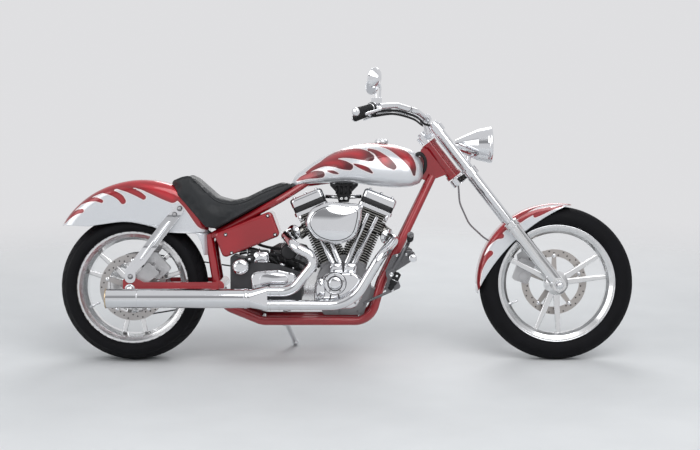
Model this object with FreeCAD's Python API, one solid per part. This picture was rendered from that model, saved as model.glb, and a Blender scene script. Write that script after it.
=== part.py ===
import FreeCAD, Part
import math
import os

# Chopper motorcycle with a V-twin engine, parked on its side stand. Millimetres.
# Every piece is drawn on the upright bike: +X forward, +Y to the rider's left, +Z up,
# X = 0 at the rear axle and Z = 0 where the bike's own plane meets the ground.
# park() then leans the bike to its left, on to the foot of the stand, and puts the
# origin at the middle of the bottom of its box.

# ---- driving dimensions ----
lean = 7.0                  # degrees to the left, on the side stand
wheelbase = 1870.0
rake = 38.0                 # steering axis from the vertical
fork_offset = 64.0          # from the steering axis forward to the fork tubes
fork_half_spacing = 100.0   # fork tubes from the bike's plane

rear_tyre = dict(radius=325.0, half_width=100.0, crown=130.0, shoulder=82.0, sidewall=79.0)
front_tyre = dict(radius=340.0, half_width=55.0, crown=58.0, shoulder=47.0, sidewall=83.0)
widest_above_flange = dict(rear=30.0, front=35.0)
rear_rim = dict(seat_drop=17.0, half_bead=70.0, well=24.0, well_drop=15.0)
front_rim = dict(seat_drop=16.0, half_bead=35.0, well=14.0, well_drop=13.0)
tyre_wall = 9.0
rim_wall = 6.0
rim_lip = 6.0               # thickness of the flange beside the tyre's bead
spoke_pairs = 3
spoke_half_spread = 13.0    # degrees of each spoke from the middle of its pair
spoke_root_width = 30.0
spoke_tip_width = 19.0
spoke_thickness = 22.0
hub_radius = 34.0
rotor_radius = 146.0
rotor_band = 33.0
rotor_thickness = 5.0
axle_radius = 12.7
axle_clearance = 0.05       # running fit, radial

frame_tube = 19.0           # radius
rail_y = 118.0
post_y = 80.0               # the posts behind the gearbox stand inside the belt
rail_z = 182.0
tube_bend = 90.0
fit_gap = 0.3               # between pieces that sit against each other

fork_tube = 20.5            # radius
fork_leg = 29.0             # radius
fork_leg_top = 350.0        # along the fork, above the axle
fork_eye_half = 30.0        # half the width of the axle clamps
lower_clamp_at = 626.0
upper_clamp_at = 864.0
clamp_thickness = 34.0
steering_stop = 30.0        # degrees either way

crank = (926.0, 330.0)      # X, Z of the crankshaft
vee_half_angle = 22.5
cylinder_half = 66.0        # half the width across the barrel fins
fin_pitch = 11.0
fin_thickness = 4.0

pipe_radius = 22.0
muffler_radius = 42.0
pipe_wall = 2.0

PARTS = "parts"


def vec(point):
    return FreeCAD.Vector(*point)


def path(points, bend=0.0, closed=False):
    """Straight runs joined by tangent arcs. bend is one radius, or one for each corner."""
    pts = [vec(p) for p in points]
    n = len(pts)
    corners = range(n) if closed else range(1, n - 1)
    radii = bend if isinstance(bend, (list, tuple)) else [bend] * len(corners)
    ends = {}
    arcs = {}
    for i, radius in zip(corners, radii):
        before = (pts[i - 1] - pts[i]).normalize()
        after = (pts[(i + 1) % n] - pts[i]).normalize()
        turn = math.pi - before.getAngle(after)
        if radius < 0.01 or turn < 0.002:
            ends[i] = (pts[i], pts[i])
            continue
        reach = radius * math.tan(turn / 2)
        middle = (before + after).normalize() * (radius / math.cos(turn / 2) - radius)
        ends[i] = (pts[i] + before * reach, pts[i] + after * reach)
        arcs[i] = pts[i] + middle
    edges = []
    last = n if closed else n - 1
    for i in range(last):
        j = (i + 1) % n
        a = ends[i][1] if i in ends else pts[i]
        b = ends[j][0] if j in ends else pts[j]
        if (b - a).Length > 0.001:
            edges.append(Part.LineSegment(a, b).toShape())
        if j in arcs:
            edges.append(Part.Arc(ends[j][0], arcs[j], ends[j][1]).toShape())
    return Part.Wire(edges)


def bar(points, radius, bend=tube_bend):
    """A round bar along straight runs and tangent arcs."""
    line = path(points, bend)
    start = vec(points[0])
    ring = Part.Wire(Part.makeCircle(radius, start, vec(points[1]) - start))
    return line.makePipeShell([ring], True, False)


def rod(start, end, radius):
    a, b = vec(start), vec(end)
    return Part.makeCylinder(radius, (b - a).Length, a, b - a)


def cone(start, end, radius_start, radius_end):
    a, b = vec(start), vec(end)
    return Part.makeCone(radius_start, radius_end, (b - a).Length, a, b - a)


def plate(outline, y_from, y_to, bend=0.0):
    """An outline of (x, z) points in the bike's plane, from one y to another."""
    wire = path([(x, y_from, z) for x, z in outline], bend, closed=True)
    return Part.Face(wire).extrude(vec((0, y_to - y_from, 0)))


def plan(outline, z_from, z_to, bend=0.0):
    """An outline of (x, y) points seen from above, from one height to another."""
    wire = path([(x, y, z_from) for x, y in outline], bend, closed=True)
    return Part.Face(wire).extrude(vec((0, 0, z_to - z_from)))


def spin(outline, centre, bend=0.0, angle=360.0):
    """Turns an outline of (y, radius) points about the line along Y through centre (x, z)."""
    x, z = centre
    wire = path([(x, y, z + r) for y, r in outline], bend, closed=True)
    return Part.Face(wire).revolve(vec((x, 0, z)), vec((0, 1, 0)), angle)


def lathe(outline, start, direction, bend=0.0):
    """Turns an outline of (along, radius) points about the line from start along direction."""
    wire = path([(r, 0, a) for a, r in outline], bend, closed=True)
    solid = Part.Face(wire).revolve(vec((0, 0, 0)), vec((0, 0, 1)), 360)
    turn = FreeCAD.Rotation(vec((0, 0, 1)), vec(direction))
    solid.Placement = FreeCAD.Placement(vec(start), turn)
    return solid


def mirrored(shape):
    return shape.mirror(vec((0, 0, 0)), vec((0, 1, 0)))


def union(shapes):
    whole = shapes[0]
    for shape in shapes[1:]:
        whole = whole.fuse(shape)
    return whole.removeSplitter() if len(shapes) > 1 else whole


def biggest(shape):
    """The largest solid of a shape, without the slivers that a cut may leave."""
    return max(shape.Solids, key=lambda solid: solid.Volume)


def polar(centre, radius, degrees):
    """The (x, z) point at that radius and angle from centre, from +X towards +Z."""
    a = math.radians(degrees)
    return (centre[0] + radius * math.cos(a), centre[1] + radius * math.sin(a))


# ---- places worked out from the driving dimensions ----
def axle_height(tyre):
    """The height of the axle in the bike's plane, with the leaning tyre on the ground."""
    return tyre["radius"] - tyre["crown"] + tyre["crown"] / math.cos(math.radians(lean))


for where, size, rim in (("rear", rear_tyre, rear_rim), ("front", front_tyre, front_rim)):
    rim["flange"] = size["radius"] - size["sidewall"]
    rim["seat"] = rim["flange"] - rim["seat_drop"]
    size["widest"] = rim["flange"] + widest_above_flange[where]

rear_axle = (0.0, axle_height(rear_tyre))
front_axle = (wheelbase, axle_height(front_tyre))
rake_sin, rake_cos = math.sin(math.radians(rake)), math.cos(math.radians(rake))


def on_fork(along, ahead=0.0, y=0.0):
    """A point up the fork from the front axle, and ahead of the fork tubes' line."""
    x = front_axle[0] - along * rake_sin + ahead * rake_cos
    z = front_axle[1] + along * rake_cos + ahead * rake_sin
    return (x, y, z)


def on_steering(along, y=0.0):
    return on_fork(along, -fork_offset, y)


fork_up = (-rake_sin, 0.0, rake_cos)


# ---- wheels ----
tread_shares = (1.0, 0.5, 0.0)    # of the way from the leaning contact to the shoulder


def tyre(size, rim, centre):
    """A hollow tyre of few flats: a crown with an edge where it leans, walls and beads."""
    crown, top = size["crown"], size["radius"]
    contact = math.radians(lean)
    shoulder = math.asin(size["shoulder"] / crown)
    half = [(rim["half_bead"], rim["seat"]), (rim["half_bead"], rim["flange"] + 2.0),
            (size["half_width"], size["widest"])]
    for share in tread_shares:
        a = contact + (shoulder - contact) * share
        half.append((crown * math.sin(a), top - crown + crown * math.cos(a)))
    inner = [(half[3][0] * 0.55, top - tyre_wall - 6.0),
             (size["half_width"] - tyre_wall, size["widest"] + 6.0),
             (rim["half_bead"] - tyre_wall, rim["seat"])]
    outline = (half + [(-y, r) for y, r in reversed(half)]
               + [(-y, r) for y, r in reversed(inner)] + inner)
    return spin(outline, centre)


def rim_ring(rim, centre):
    """The rim's section: flanges, bead seats and a dropped well, one wall thick."""
    bead, seat, flange = rim["half_bead"], rim["seat"], rim["flange"]
    well, floor = rim["well"], seat - rim["well_drop"]
    half_outer = [(bead + rim_lip, flange), (bead, flange), (bead, seat),
                  (bead - tyre_wall - 3.0, seat), (well, floor)]
    half_inner = [(bead + rim_lip, flange - 9.0), (bead - 4.0, seat - rim_wall - 2.0),
                  (well + 2.0, floor - rim_wall)]
    outline = (half_outer + [(-y, r) for y, r in reversed(half_outer)]
               + [(-y, r) for y, r in half_inner] + list(reversed(half_inner)))
    return spin(outline, centre)


def twin_spokes(rim, centre, phase):
    """Pairs of tapered spokes from the hub into the rim's well."""
    reach = rim["seat"] - rim["well_drop"] - rim_wall / 2
    found = []
    for pair in range(spoke_pairs):
        for side in (-1, 1):
            angle = phase + pair * 360.0 / spoke_pairs + side * spoke_half_spread
            outline = [(hub_radius * 0.5, -spoke_root_width / 2), (reach, -spoke_tip_width / 2),
                       (reach, spoke_tip_width / 2), (hub_radius * 0.5, spoke_root_width / 2)]
            spoke = plate(outline, -spoke_thickness / 2, spoke_thickness / 2)
            spoke = spoke.makeFillet(5.0, [e for e in spoke.Edges
                                           if abs(e.Vertexes[0].Y - e.Vertexes[-1].Y) < 0.1
                                           and e.Length > reach / 2])
            spoke.rotate(vec((0, 0, 0)), vec((0, -1, 0)), angle)
            spoke.translate(vec((centre[0], 0, centre[1])))
            found.append(spoke)
    return found


def wheel(rim, centre, phase, hub_right, hub_left):
    """Rim, twin spokes and hub as one casting, bored for the axle."""
    x, z = centre
    hub = spin([(-hub_right, 0.0), (-hub_right, hub_radius), (-hub_right + 14.0, hub_radius + 16.0),
                (-spoke_thickness, hub_radius + 20.0), (spoke_thickness, hub_radius + 20.0),
                (hub_left - 14.0, hub_radius + 16.0), (hub_left, hub_radius), (hub_left, 0.0)], centre)
    whole = union([rim_ring(rim, centre), hub] + twin_spokes(rim, centre, phase))
    bore = rod((x, -300, z), (x, 300, z), axle_radius + axle_clearance)
    return whole.cut(bore)


def rotor(centre, y_from, y_to):
    """A brake disc: swept ring, five arms and a mounting ring."""
    inner = rotor_radius - rotor_band
    ring = spin([(y_from, inner), (y_from, rotor_radius), (y_to, rotor_radius), (y_to, inner)], centre)
    boss = spin([(y_from, 26.0), (y_from, 48.0), (y_to, 48.0), (y_to, 26.0)], centre)
    arms = []
    for i in range(5):
        arm = plate([(40.0, -13.0), (inner + 6.0, -9.0), (inner + 6.0, 9.0), (40.0, 13.0)], y_from, y_to)
        arm.rotate(vec((0, 0, 0)), vec((0, -1, 0)), 18.0 + 72.0 * i)
        arm.translate(vec((centre[0], 0, centre[1])))
        arms.append(arm)
    return union([ring, boss] + arms)


front_hub = 58.0
rear_hub = 70.0             # to the right; to the left it reaches the pulley
pulley_y = 106.0
pulley_radius = 140.0
pulley_width = 28.0
belt_width = 20.0
belt_gap = 0.6              # inside the belt, round its pulleys
belt_thickness = 5.0


def front_wheel_parts():
    return {
        "front_tyre": tyre(front_tyre, front_rim, front_axle),
        "front_rim": wheel(front_rim, front_axle, 20.0, front_hub, front_hub),
        "front_rotor": rotor(front_axle, front_hub, front_hub + rotor_thickness),
    }


def rear_pulley():
    """A toothless belt pulley with flanges, bolted to the left of the hub."""
    y0, y1 = pulley_y, pulley_y + pulley_width
    outline = [(y0, 26.0), (y0, 60.0), (y0 + 10.0, 60.0), (y0 + 10.0, pulley_radius - 12.0),
               (y0, pulley_radius - 12.0), (y0, pulley_radius + 4.0), (y0 + 3.0, pulley_radius + 4.0),
               (y0 + 3.0, pulley_radius), (y1 - 3.0, pulley_radius), (y1 - 3.0, pulley_radius + 4.0),
               (y1, pulley_radius + 4.0), (y1, pulley_radius - 12.0), (y0 + 20.0, pulley_radius - 12.0),
               (y0 + 20.0, 26.0)]
    body = spin(outline, rear_axle)
    holes = []
    for i in range(5):
        x, z = polar(rear_axle, 94.0, 72.0 * i)
        holes.append(rod((x, y0 - 5, z), (x, y1 + 5, z), 20.0))
    return body.cut(holes)


def rear_wheel_parts():
    return {
        "rear_tyre": tyre(rear_tyre, rear_rim, rear_axle),
        "rear_rim": wheel(rear_rim, rear_axle, 30.0, rear_hub, pulley_y),
        "rear_rotor": rotor(rear_axle, -rear_hub - rotor_thickness, -rear_hub),
        "rear_pulley": rear_pulley(),
    }


# ---- steering: fork, bars, lamp and front fender ----
stem_radius = 14.0
neck_low = lower_clamp_at + clamp_thickness / 2 + 6.0
neck_high = upper_clamp_at - clamp_thickness / 2 - 6.0
fork_top = upper_clamp_at + clamp_thickness / 2 + 12.0


def fork_clamp(at):
    """A triple clamp: two bosses on the fork tubes, joined behind round the steering stem."""
    along = clamp_thickness / 2
    pieces = []
    for side in (-1, 1):
        y = side * fork_half_spacing
        pieces.append(rod(on_fork(at - along, 0, y), on_fork(at + along, 0, y), fork_tube + 9.0))
    pieces.append(rod(on_steering(at - along), on_steering(at + along), 34.0))
    web = Part.makeBox(fork_offset + 10.0, 2 * fork_half_spacing, clamp_thickness * 0.7,
                       vec((-fork_offset - 5.0, -fork_half_spacing, -clamp_thickness * 0.35)))
    notch = [(-fork_offset - 6.0, s * (fork_half_spacing + 1)) for s in (-1, 1)]
    for x, y in notch:
        side = 1 if y > 0 else -1
        wedge = plan([(x, y), (x + fork_offset - 4.0, y), (x, side * 27.0)], -40.0, 40.0)
        web = web.cut(wedge)
    web.Placement = FreeCAD.Placement(vec(on_fork(at)), FreeCAD.Rotation(vec((0, 1, 0)), -rake))
    pieces.append(web)
    return union(pieces)


def triple_clamps():
    tubes = [rod(on_fork(lower_clamp_at - 60, 0, s * fork_half_spacing),
                 on_fork(fork_top + 20, 0, s * fork_half_spacing), fork_tube) for s in (-1, 1)]
    stem = rod(on_steering(lower_clamp_at), on_steering(upper_clamp_at + 24), stem_radius)
    nut = rod(on_steering(upper_clamp_at + 10), on_steering(upper_clamp_at + 30), 19.0)
    body = union([fork_clamp(lower_clamp_at), fork_clamp(upper_clamp_at), stem, nut] + risers())
    return body.cut(tubes)


def fork_tubes():
    found = []
    for side in (-1, 1):
        y = side * fork_half_spacing
        tube = rod(on_fork(fork_leg_top, 0, y), on_fork(fork_top, 0, y), fork_tube)
        cap = rod(on_fork(fork_top, 0, y), on_fork(fork_top + 6, 0, y), fork_tube - 4.0)
        found.append(union([tube, cap]))
    return Part.makeCompound(found)


def fork_legs():
    """Lower legs with an axle clamp at the foot and a dust cap at the top."""
    found = []
    for side in (-1, 1):
        y = side * fork_half_spacing
        leg = lathe([(-30, 0), (-30, 22), (-18, 28), (40, fork_leg), (fork_leg_top - 30, fork_leg),
                     (fork_leg_top - 24, fork_leg + 3), (fork_leg_top - 4, fork_leg + 3),
                     (fork_leg_top, fork_leg - 2), (fork_leg_top, 0)], on_fork(0, 0, y), fork_up)
        eye = rod((front_axle[0], y - fork_eye_half, front_axle[1]),
                  (front_axle[0], y + fork_eye_half, front_axle[1]), 30.0)
        bore = rod((front_axle[0], y - 40, front_axle[1]), (front_axle[0], y + 40, front_axle[1]), axle_radius)
        found.append(union([leg, eye, fender_bracket(side)]).cut(bore))
    return Part.makeCompound(found)


def front_axle_rod(legs):
    x, z = front_axle
    side = fork_half_spacing + fork_eye_half
    shaft = rod((x, -side - 4, z), (x, side + 4, z), axle_radius)
    heads = [rod((x, s * side, z), (x, s * (side + 12), z), 19.0) for s in (-1, 1)]
    gap = front_hub + rotor_thickness + 1.0
    spacers = [rod((x, s * gap, z), (x, s * (fork_half_spacing - fork_eye_half), z), 20.0).cut(legs)
               for s in (-1, 1)]
    return union([shaft] + heads + spacers)


bar_radius = 12.7
grip_radius = 17.0
riser_foot = on_fork(upper_clamp_at)
riser_at = (riser_foot[0] - 48.0, riser_foot[2] + 44.0)   # X, Z of the bar in its clamps
bar_route = [(0.0, 0.0, 0.0), (0.0, 95.0, 0.0), (-46.0, 165.0, 30.0), (-136.0, 225.0, 54.0),
             (-236.0, 318.0, 44.0), (-310.0, 440.0, 20.0)]   # from the clamps, to the left
grip_share = 0.86                # of the last run, taken by the grip
riser_half_spacing = 52.0
riser_radius = 15.5


def bar_points(side):
    x0, z0 = riser_at
    return [(x0 + dx, side * dy, z0 + dz) for dx, dy, dz in bar_route]


def handlebar():
    left, right = bar_points(1), bar_points(-1)
    route = list(reversed(right))[:-1] + left[1:]
    body = bar(route, bar_radius, 42.0)
    return body


def along_run(side, share, run=-2):
    a, b = bar_points(side)[run], bar_points(side)[run + 1]
    return tuple(p + (q - p) * share for p, q in zip(a, b))


def grips():
    found = []
    for side in (-1, 1):
        start, end = along_run(side, 1 - grip_share), along_run(side, 1.0)
        outer = rod(start, along_run(side, 1.03), grip_radius)
        found.append(outer.cut(rod(start, end, bar_radius)))
    return Part.makeCompound(found)


def risers():
    """Clamps that carry the handlebar on the upper triple clamp."""
    x, z = riser_at
    found = []
    for side in (-1, 1):
        y = side * riser_half_spacing
        foot = on_fork(upper_clamp_at + 3.0, -fork_offset * 0.6, y)
        post = cone(foot, (x, y, z), riser_radius, riser_radius - 1.0)
        clamp = rod((x, y - 19, z), (x, y + 19, z), 23.0)
        found.append(union([post, clamp]).cut(rod((x, y - 40, z), (x, y + 40, z), bar_radius)))
    return found


def hand_controls():
    """Lever perches with their levers; the right one carries the brake's reservoir."""
    found = []
    for side in (-1, 1):
        a, b = along_run(side, -0.06), along_run(side, 1 - grip_share - 0.02)
        perch = rod(a, b, 21.0).cut(rod(along_run(side, -0.2), along_run(side, 0.6), bar_radius))
        mid = along_run(side, 0.03)
        ahead = (mid[0] + 34, mid[1] + side * 4, mid[2] - 4)
        pivot = rod(mid, ahead, 12.0).cut(rod(along_run(side, -0.3), along_run(side, 0.6), bar_radius))
        tip = along_run(side, 1.0)
        lever = bar([ahead, (along_run(side, 0.35)[0] + 56, along_run(side, 0.35)[1], ahead[2] - 6),
                     (tip[0] + 42, tip[1], tip[2] - 8)], 5.5, 30.0)
        pieces = [perch, pivot, lever]
        if side < 0:
            tank = Part.makeBox(46, 36, 24, vec((mid[0] - 8, mid[1] - 8, mid[2] + 16)))
            pieces.append(tank.cut(rod(along_run(side, -0.6), along_run(side, 0.9), bar_radius)))
        found.append(union(pieces))
    return Part.makeCompound(found)


mirror_glass = (0.74, 0.66, 0.12)   # the glass looks back and in, towards the rider


def mirrors():
    """Oval mirrors on curved stems from the lever perches."""
    found = []
    for side in (-1, 1):
        base = along_run(side, 0.03)
        foot = (base[0] + 28, base[1] + 2, base[2] + (38 if side < 0 else 4))
        head = (base[0] + 14, base[1] + side * 34, base[2] + 122)
        stem = bar([foot, (foot[0] + 4, foot[1] + side * 10, foot[2] + 46), head], 5.0, 34.0)
        shell = lathe([(-17, 0), (-17, 12), (2, 38), (9, 43), (13, 42), (13, 0)], head,
                      (-mirror_glass[0], side * -mirror_glass[1], mirror_glass[2]))
        found.append(union([stem, shell]))
    return Part.makeCompound(found)


lamp_from = on_fork(lower_clamp_at)
lamp_face = (lamp_from[0] + 96.5, lamp_from[2] + 119.0)
lamp_radius = 78.0
lamp_length = 160.0


def headlamp_shell():
    """A bullet-shaped lamp shell with a bezel and a mounting arm to the lower clamp."""
    x, z = lamp_face
    shell = lathe([(0, lamp_radius), (-8, lamp_radius + 1), (-18, lamp_radius), (-60, lamp_radius - 9),
                   (-112, lamp_radius * 0.58), (-lamp_length, 22.0), (-lamp_length, 0.0),
                   (-lamp_length + 12, 0.0), (-104, lamp_radius * 0.5), (-56, lamp_radius - 16),
                   (-16, lamp_radius - 6), (0, lamp_radius - 6)], (x, 0, z), (1, 0, 0))
    foot = on_fork(lower_clamp_at, -14.0)
    arm = rod(foot, (x - lamp_length * 0.62, 0, z - lamp_radius * 0.62), 11.0)
    inside = lathe([(-lamp_length + 12, 0.0), (-104, lamp_radius * 0.5), (-56, lamp_radius - 16),
                    (-16, lamp_radius - 6), (20, lamp_radius - 6), (20, 0)], (x, 0, z), (1, 0, 0))
    return union([shell, arm.cut(inside)])


def headlamp_lens():
    x, z = lamp_face
    r = lamp_radius - 6 - fit_gap
    return lathe([(-14, 0), (-14, r), (-4, r), (4, r * 0.6), (7, 0)], (x, 0, z), (1, 0, 0))


fender_gap = 12.0
fender_wall = 3.0
front_fender_half = 66.0
front_fender_ends = (80.0, 187.0)


def front_fender():
    """A close channel over the tyre, deepest at the fork legs and running out to both ends."""
    outer = front_tyre["radius"] + fender_gap + fender_wall
    inner = outer - fender_wall
    wide = front_fender_half
    section = [(-wide, 240.0), (-wide, outer - 12), (-wide + 34, outer), (wide - 34, outer),
               (wide, outer - 12), (wide, 240.0), (wide - fender_wall, 240.0),
               (wide - fender_wall, inner - 11), (wide - 33, inner), (-wide + 33, inner),
               (-wide + fender_wall, inner - 11), (-wide + fender_wall, 240.0)]
    channel = spin(section, front_axle, [0, 14, 30, 30, 14, 0, 0, 11, 27, 27, 11, 0])
    low, high = front_fender_ends
    tips = [polar(front_axle, outer + 4, a) for a in (low, high)]
    deep = polar(front_axle, 268.0, (low + high) / 2)
    crest = polar(front_axle, outer + 60, (low + high) / 2)
    p = [vec((x, -200, z)) for x, z in (tips[0], crest, tips[1], deep)]
    lens = Part.Wire([Part.Arc(p[0], p[1], p[2]).toShape(), Part.Arc(p[2], p[3], p[0]).toShape()])
    return channel.common(Part.Face(lens).extrude(vec((0, 400, 0))))


def fender_bracket(side):
    """The block on a lower leg that carries the front fender."""
    y0, y1 = sorted((side * (front_fender_half + fit_gap), side * (fork_half_spacing - 10.0)))
    low, high = on_fork(238), on_fork(306)
    return plate([(low[0] - 22, low[2] - 17), (low[0] + 22, low[2] + 17),
                  (high[0] + 22, high[2] + 17), (high[0] - 22, high[2] - 17)], y0, y1, 6.0)


def caliper(centre, angle, y_middle, half_width, slot_radius=rotor_radius):
    """A brake caliper astride the disc's edge, with two piston caps each side."""
    body = Part.makeBox(74.0, 2 * half_width, 104.0, vec((-34, -half_width, -52)))
    body = body.makeFillet(12.0, [e for e in body.Edges if abs(e.Vertexes[0].Y - e.Vertexes[-1].Y) > 1])
    caps = []
    for z in (-24.0, 24.0):
        caps.append(rod((-2, -half_width - 5, z), (-2, half_width + 5, z), 19.0))
    body = union([body] + caps)
    body.rotate(vec((0, 0, 0)), vec((0, -1, 0)), angle)
    x, z = polar(centre, slot_radius - 4.0, angle)
    body.translate(vec((x, y_middle, z)))
    room = rotor_thickness / 2 + 2.0
    slot = spin([(y_middle - room, 20.0), (y_middle - room, slot_radius + 6.0),
                 (y_middle + room, slot_radius + 6.0), (y_middle + room, 20.0)], centre)
    return body.cut(slot)


def front_caliper():
    y = front_hub + rotor_thickness / 2
    body = caliper(front_axle, 160.0, y, 22.0)
    legs = fork_legs()
    lug_a = polar(front_axle, 150.0, 150.0)
    lug_b = polar(front_axle, 192.0, 136.0)
    lug = plate([(lug_a[0] - 24, lug_a[1] - 24), (lug_a[0] + 20, lug_a[1] + 14),
                 (lug_b[0] + 24, lug_b[1] + 22), (lug_b[0] - 26, lug_b[1] - 12)],
                y + 14.0, fork_half_spacing, 8.0)
    return union([body, lug]).cut(legs)


hose_radius = 4.0


def brake_hose():
    """The front brake's hose, from the lower clamp down in a bow to the caliper."""
    top = on_steering(lower_clamp_at - 6.0, 38.5)
    end = polar(front_axle, 196.0, 150.0)
    y_end = front_hub + rotor_thickness / 2 + 22.0
    points = [top, (top[0] + 8, 60.0, top[2] - 95), (top[0] + 52, 80.0, top[2] - 190),
              (top[0] + 130, 92.0, top[2] - 262), (end[0] - 46, 90.0, end[1] + 62),
              (end[0] - 8, y_end, end[1] + 8)]
    return bar(points, hose_radius, [120.0, 120.0, 120.0, 60.0])


# ---- frame ----
neck_radius = 31.0


def neck():
    """The steering head with its gussets, bored for the stem."""
    tube = rod(on_steering(neck_low), on_steering(neck_high), neck_radius)
    cups = [rod(on_steering(neck_low), on_steering(neck_low + 16), neck_radius + 5),
            rod(on_steering(neck_high - 16), on_steering(neck_high), neck_radius + 5)]
    low, high = on_steering(neck_low + 24), on_steering(neck_high - 24)
    gusset = plate([(low[0], low[2]), (high[0], high[2]), (high[0] - 49, high[2] - 5),
                    (low[0] - 143, low[2] - 25), (low[0] - 105, low[2] - 41)],
                   -22.0, 22.0, [0, 30, 20, 14, 20])
    bore = rod(on_steering(neck_low - 20), on_steering(neck_high + 20), stem_radius + 0.3)
    return union([tube, gusset] + cups).cut(bore)


neck_foot = on_steering(neck_low + 24.0)
neck_middle = on_steering((neck_low + neck_high) / 2)
tyre_front = rear_tyre["radius"]          # X of the rear tyre's front, which the posts clear
backbone = [(neck_middle[0] - 71.0, 0.0, neck_middle[2] - 20.0), (1130.0, 0.0, 842.0),
            (760.0, 0.0, 792.0)]
rail_route = [(neck_foot[0] - 87.0, 24.0, neck_foot[2] - 16.0), (1092.0, 100.0, 345.0),
              (1045.0, rail_y, rail_z), (571.0, rail_y, rail_z), (tyre_front + 85.0, post_y, 243.0),
              (tyre_front + 47.0, post_y, 330.0), (tyre_front + 11.0, post_y, 560.0)]
rail_bends = [200.0, tube_bend, tube_bend, 60.0, 200.0]
seat_rail = [(tyre_front + 17.0, post_y, 549.0), (640.0, post_y, 708.0), (764.0, 24.0, 786.0)]
backbone_radius = 25.0


def frame_parts():
    bore = rod(on_steering(neck_low - 20), on_steering(neck_high + 20), stem_radius + 0.3)
    spine = union([neck(), bar(backbone, backbone_radius, 300.0)]).cut(bore)
    cradles = []
    for side in (-1, 1):
        route = [(x, side * y, z) for x, y, z in rail_route]
        cradles.append(bar(route, frame_tube, rail_bends).cut(spine))
    cross = []
    for side in (-1, 1):
        tube = bar([(x, side * y, z) for x, y, z in seat_rail], frame_tube * 0.84, 120.0)
        cross.append(tube.cut([spine] + cradles))
    for x, y, z in ((571.0, rail_y, rail_z), (1000.0, rail_y, rail_z),
                    (tyre_front + 16.0, post_y, 530.0)):
        tube = rod((x, -y, z), (x, y, z), frame_tube * 0.8)
        cross.append(tube.cut(cradles))
    return {
        "frame_backbone": spine,
        "frame_cradle_right": cradles[0],
        "frame_cradle_left": cradles[1],
        "frame_crossbars": Part.makeCompound(cross),
    }


swing_y = 152.0
swing_half = 12.0             # half the thickness of each arm
arm_lift = 11.0             # the arm's middle above the axle
pivot_at = (tyre_front + 59.0, 337.0)


def swingarm(frame):
    """Two arms from a cross tube in front of the wheel to plates that hold the axle."""
    arms = []
    rear_z = rear_axle[1] + arm_lift
    for side in (-1, 1):
        y0, y1 = sorted((side * (swing_y - swing_half), side * (swing_y + swing_half)))
        arm = plate([(-32.0, rear_z - 34), (60.0, rear_z - 18), (pivot_at[0], pivot_at[1] - 18),
                     (pivot_at[0], pivot_at[1] + 18), (60.0, rear_z + 18), (20.0, rear_z + 38),
                     (-32.0, rear_z + 30)], y0, y1, 8.0)
        arms.append(arm)
    tube = rod((pivot_at[0], -swing_y, pivot_at[1]), (pivot_at[0], swing_y, pivot_at[1]), 24.0)
    body = union(arms + [tube])
    bore = rod((0, -200, rear_axle[1]), (0, 200, rear_axle[1]), axle_radius)
    return body.cut([bore] + frame)


def rear_axle_rod():
    x, z = rear_axle
    side = swing_y + swing_half
    shaft = rod((x, -side - 4, z), (x, side + 4, z), axle_radius)
    heads = [rod((x, s * side, z), (x, s * (side + 14), z), 22.0) for s in (-1, 1)]
    right = rod((x, -rear_hub - rotor_thickness - 1, z), (x, -swing_y + swing_half, z), 20.0)
    left = rod((x, pulley_y + pulley_width + 1, z), (x, swing_y - swing_half, z), 20.0)
    return union([shaft, right, left] + heads)


def rear_caliper(arm, axle):
    y = -rear_hub - rotor_thickness / 2
    body = caliper(rear_axle, 42.0, y, 24.0)
    eye = rod((0, -swing_y + swing_half + 1, rear_axle[1]), (0, -rear_hub - rotor_thickness - 8, rear_axle[1]), 34.0)
    reach = polar(rear_axle, 128.0, 42.0)
    link = plate([(-6, rear_axle[1] + 30), (30, rear_axle[1] - 10), (reach[0] + 30, reach[1] - 20),
                  (reach[0] - 20, reach[1] + 30)], -swing_y + swing_half + 2, -swing_y + swing_half + 14, 8.0)
    post = rod((reach[0], -swing_y + swing_half + 4, reach[1]), (reach[0], y - 10, reach[1]), 14.0)
    return union([body, eye, link, post]).cut([arm, axle])


# ---- rear fender and its struts ----
fender_half = 118.0
fender_crown_line = [(-0.945, 0.849), (-0.683, 1.277), (0.286, 1.542), (1.028, 1.148),
                     (1.028, 0.443)]      # in tyre radii, from the rear axle
fender_lower_line = [(0.978, 0.443), (0.941, 0.615), (0.861, 0.751), (0.461, 0.739),
                     (0.295, 0.825), (-0.061, 0.905), (-0.585, 0.831)]
fender_outer, fender_lower = [
    [(x * rear_tyre["radius"], rear_axle[1] + z * rear_tyre["radius"]) for x, z in line]
    for line in (fender_crown_line, fender_lower_line)]
fender_outer_bends, fender_lower_bends = [
    [r * rear_tyre["radius"] for r in bends]
    for bends in ((1.23, 1.23, 0.49), (0.0, 0.06, 0.08, 0.12, 0.18, 0.92, 0.18))]
rear_fender_wall = 4.0
fender_crown = 46.0


def moved_in(points, distance):
    """An open (x, z) outline moved to its right by distance, corners meeting again."""
    lines = []
    for (x0, z0), (x1, z1) in zip(points, points[1:]):
        length = math.hypot(x1 - x0, z1 - z0)
        nx, nz = (z1 - z0) / length * distance, -(x1 - x0) / length * distance
        lines.append((x0 + nx, z0 + nz, x1 + nx, z1 + nz))
    found = [lines[0][:2]]
    for a, b in zip(lines, lines[1:]):
        ax, az, bx, bz = a[2] - a[0], a[3] - a[1], b[2] - b[0], b[3] - b[1]
        t = ((b[0] - a[0]) * bz - (b[1] - a[1]) * bx) / (ax * bz - az * bx)
        found.append((a[0] + ax * t, a[1] + az * t))
    return found + [lines[-1][2:]]


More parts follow.
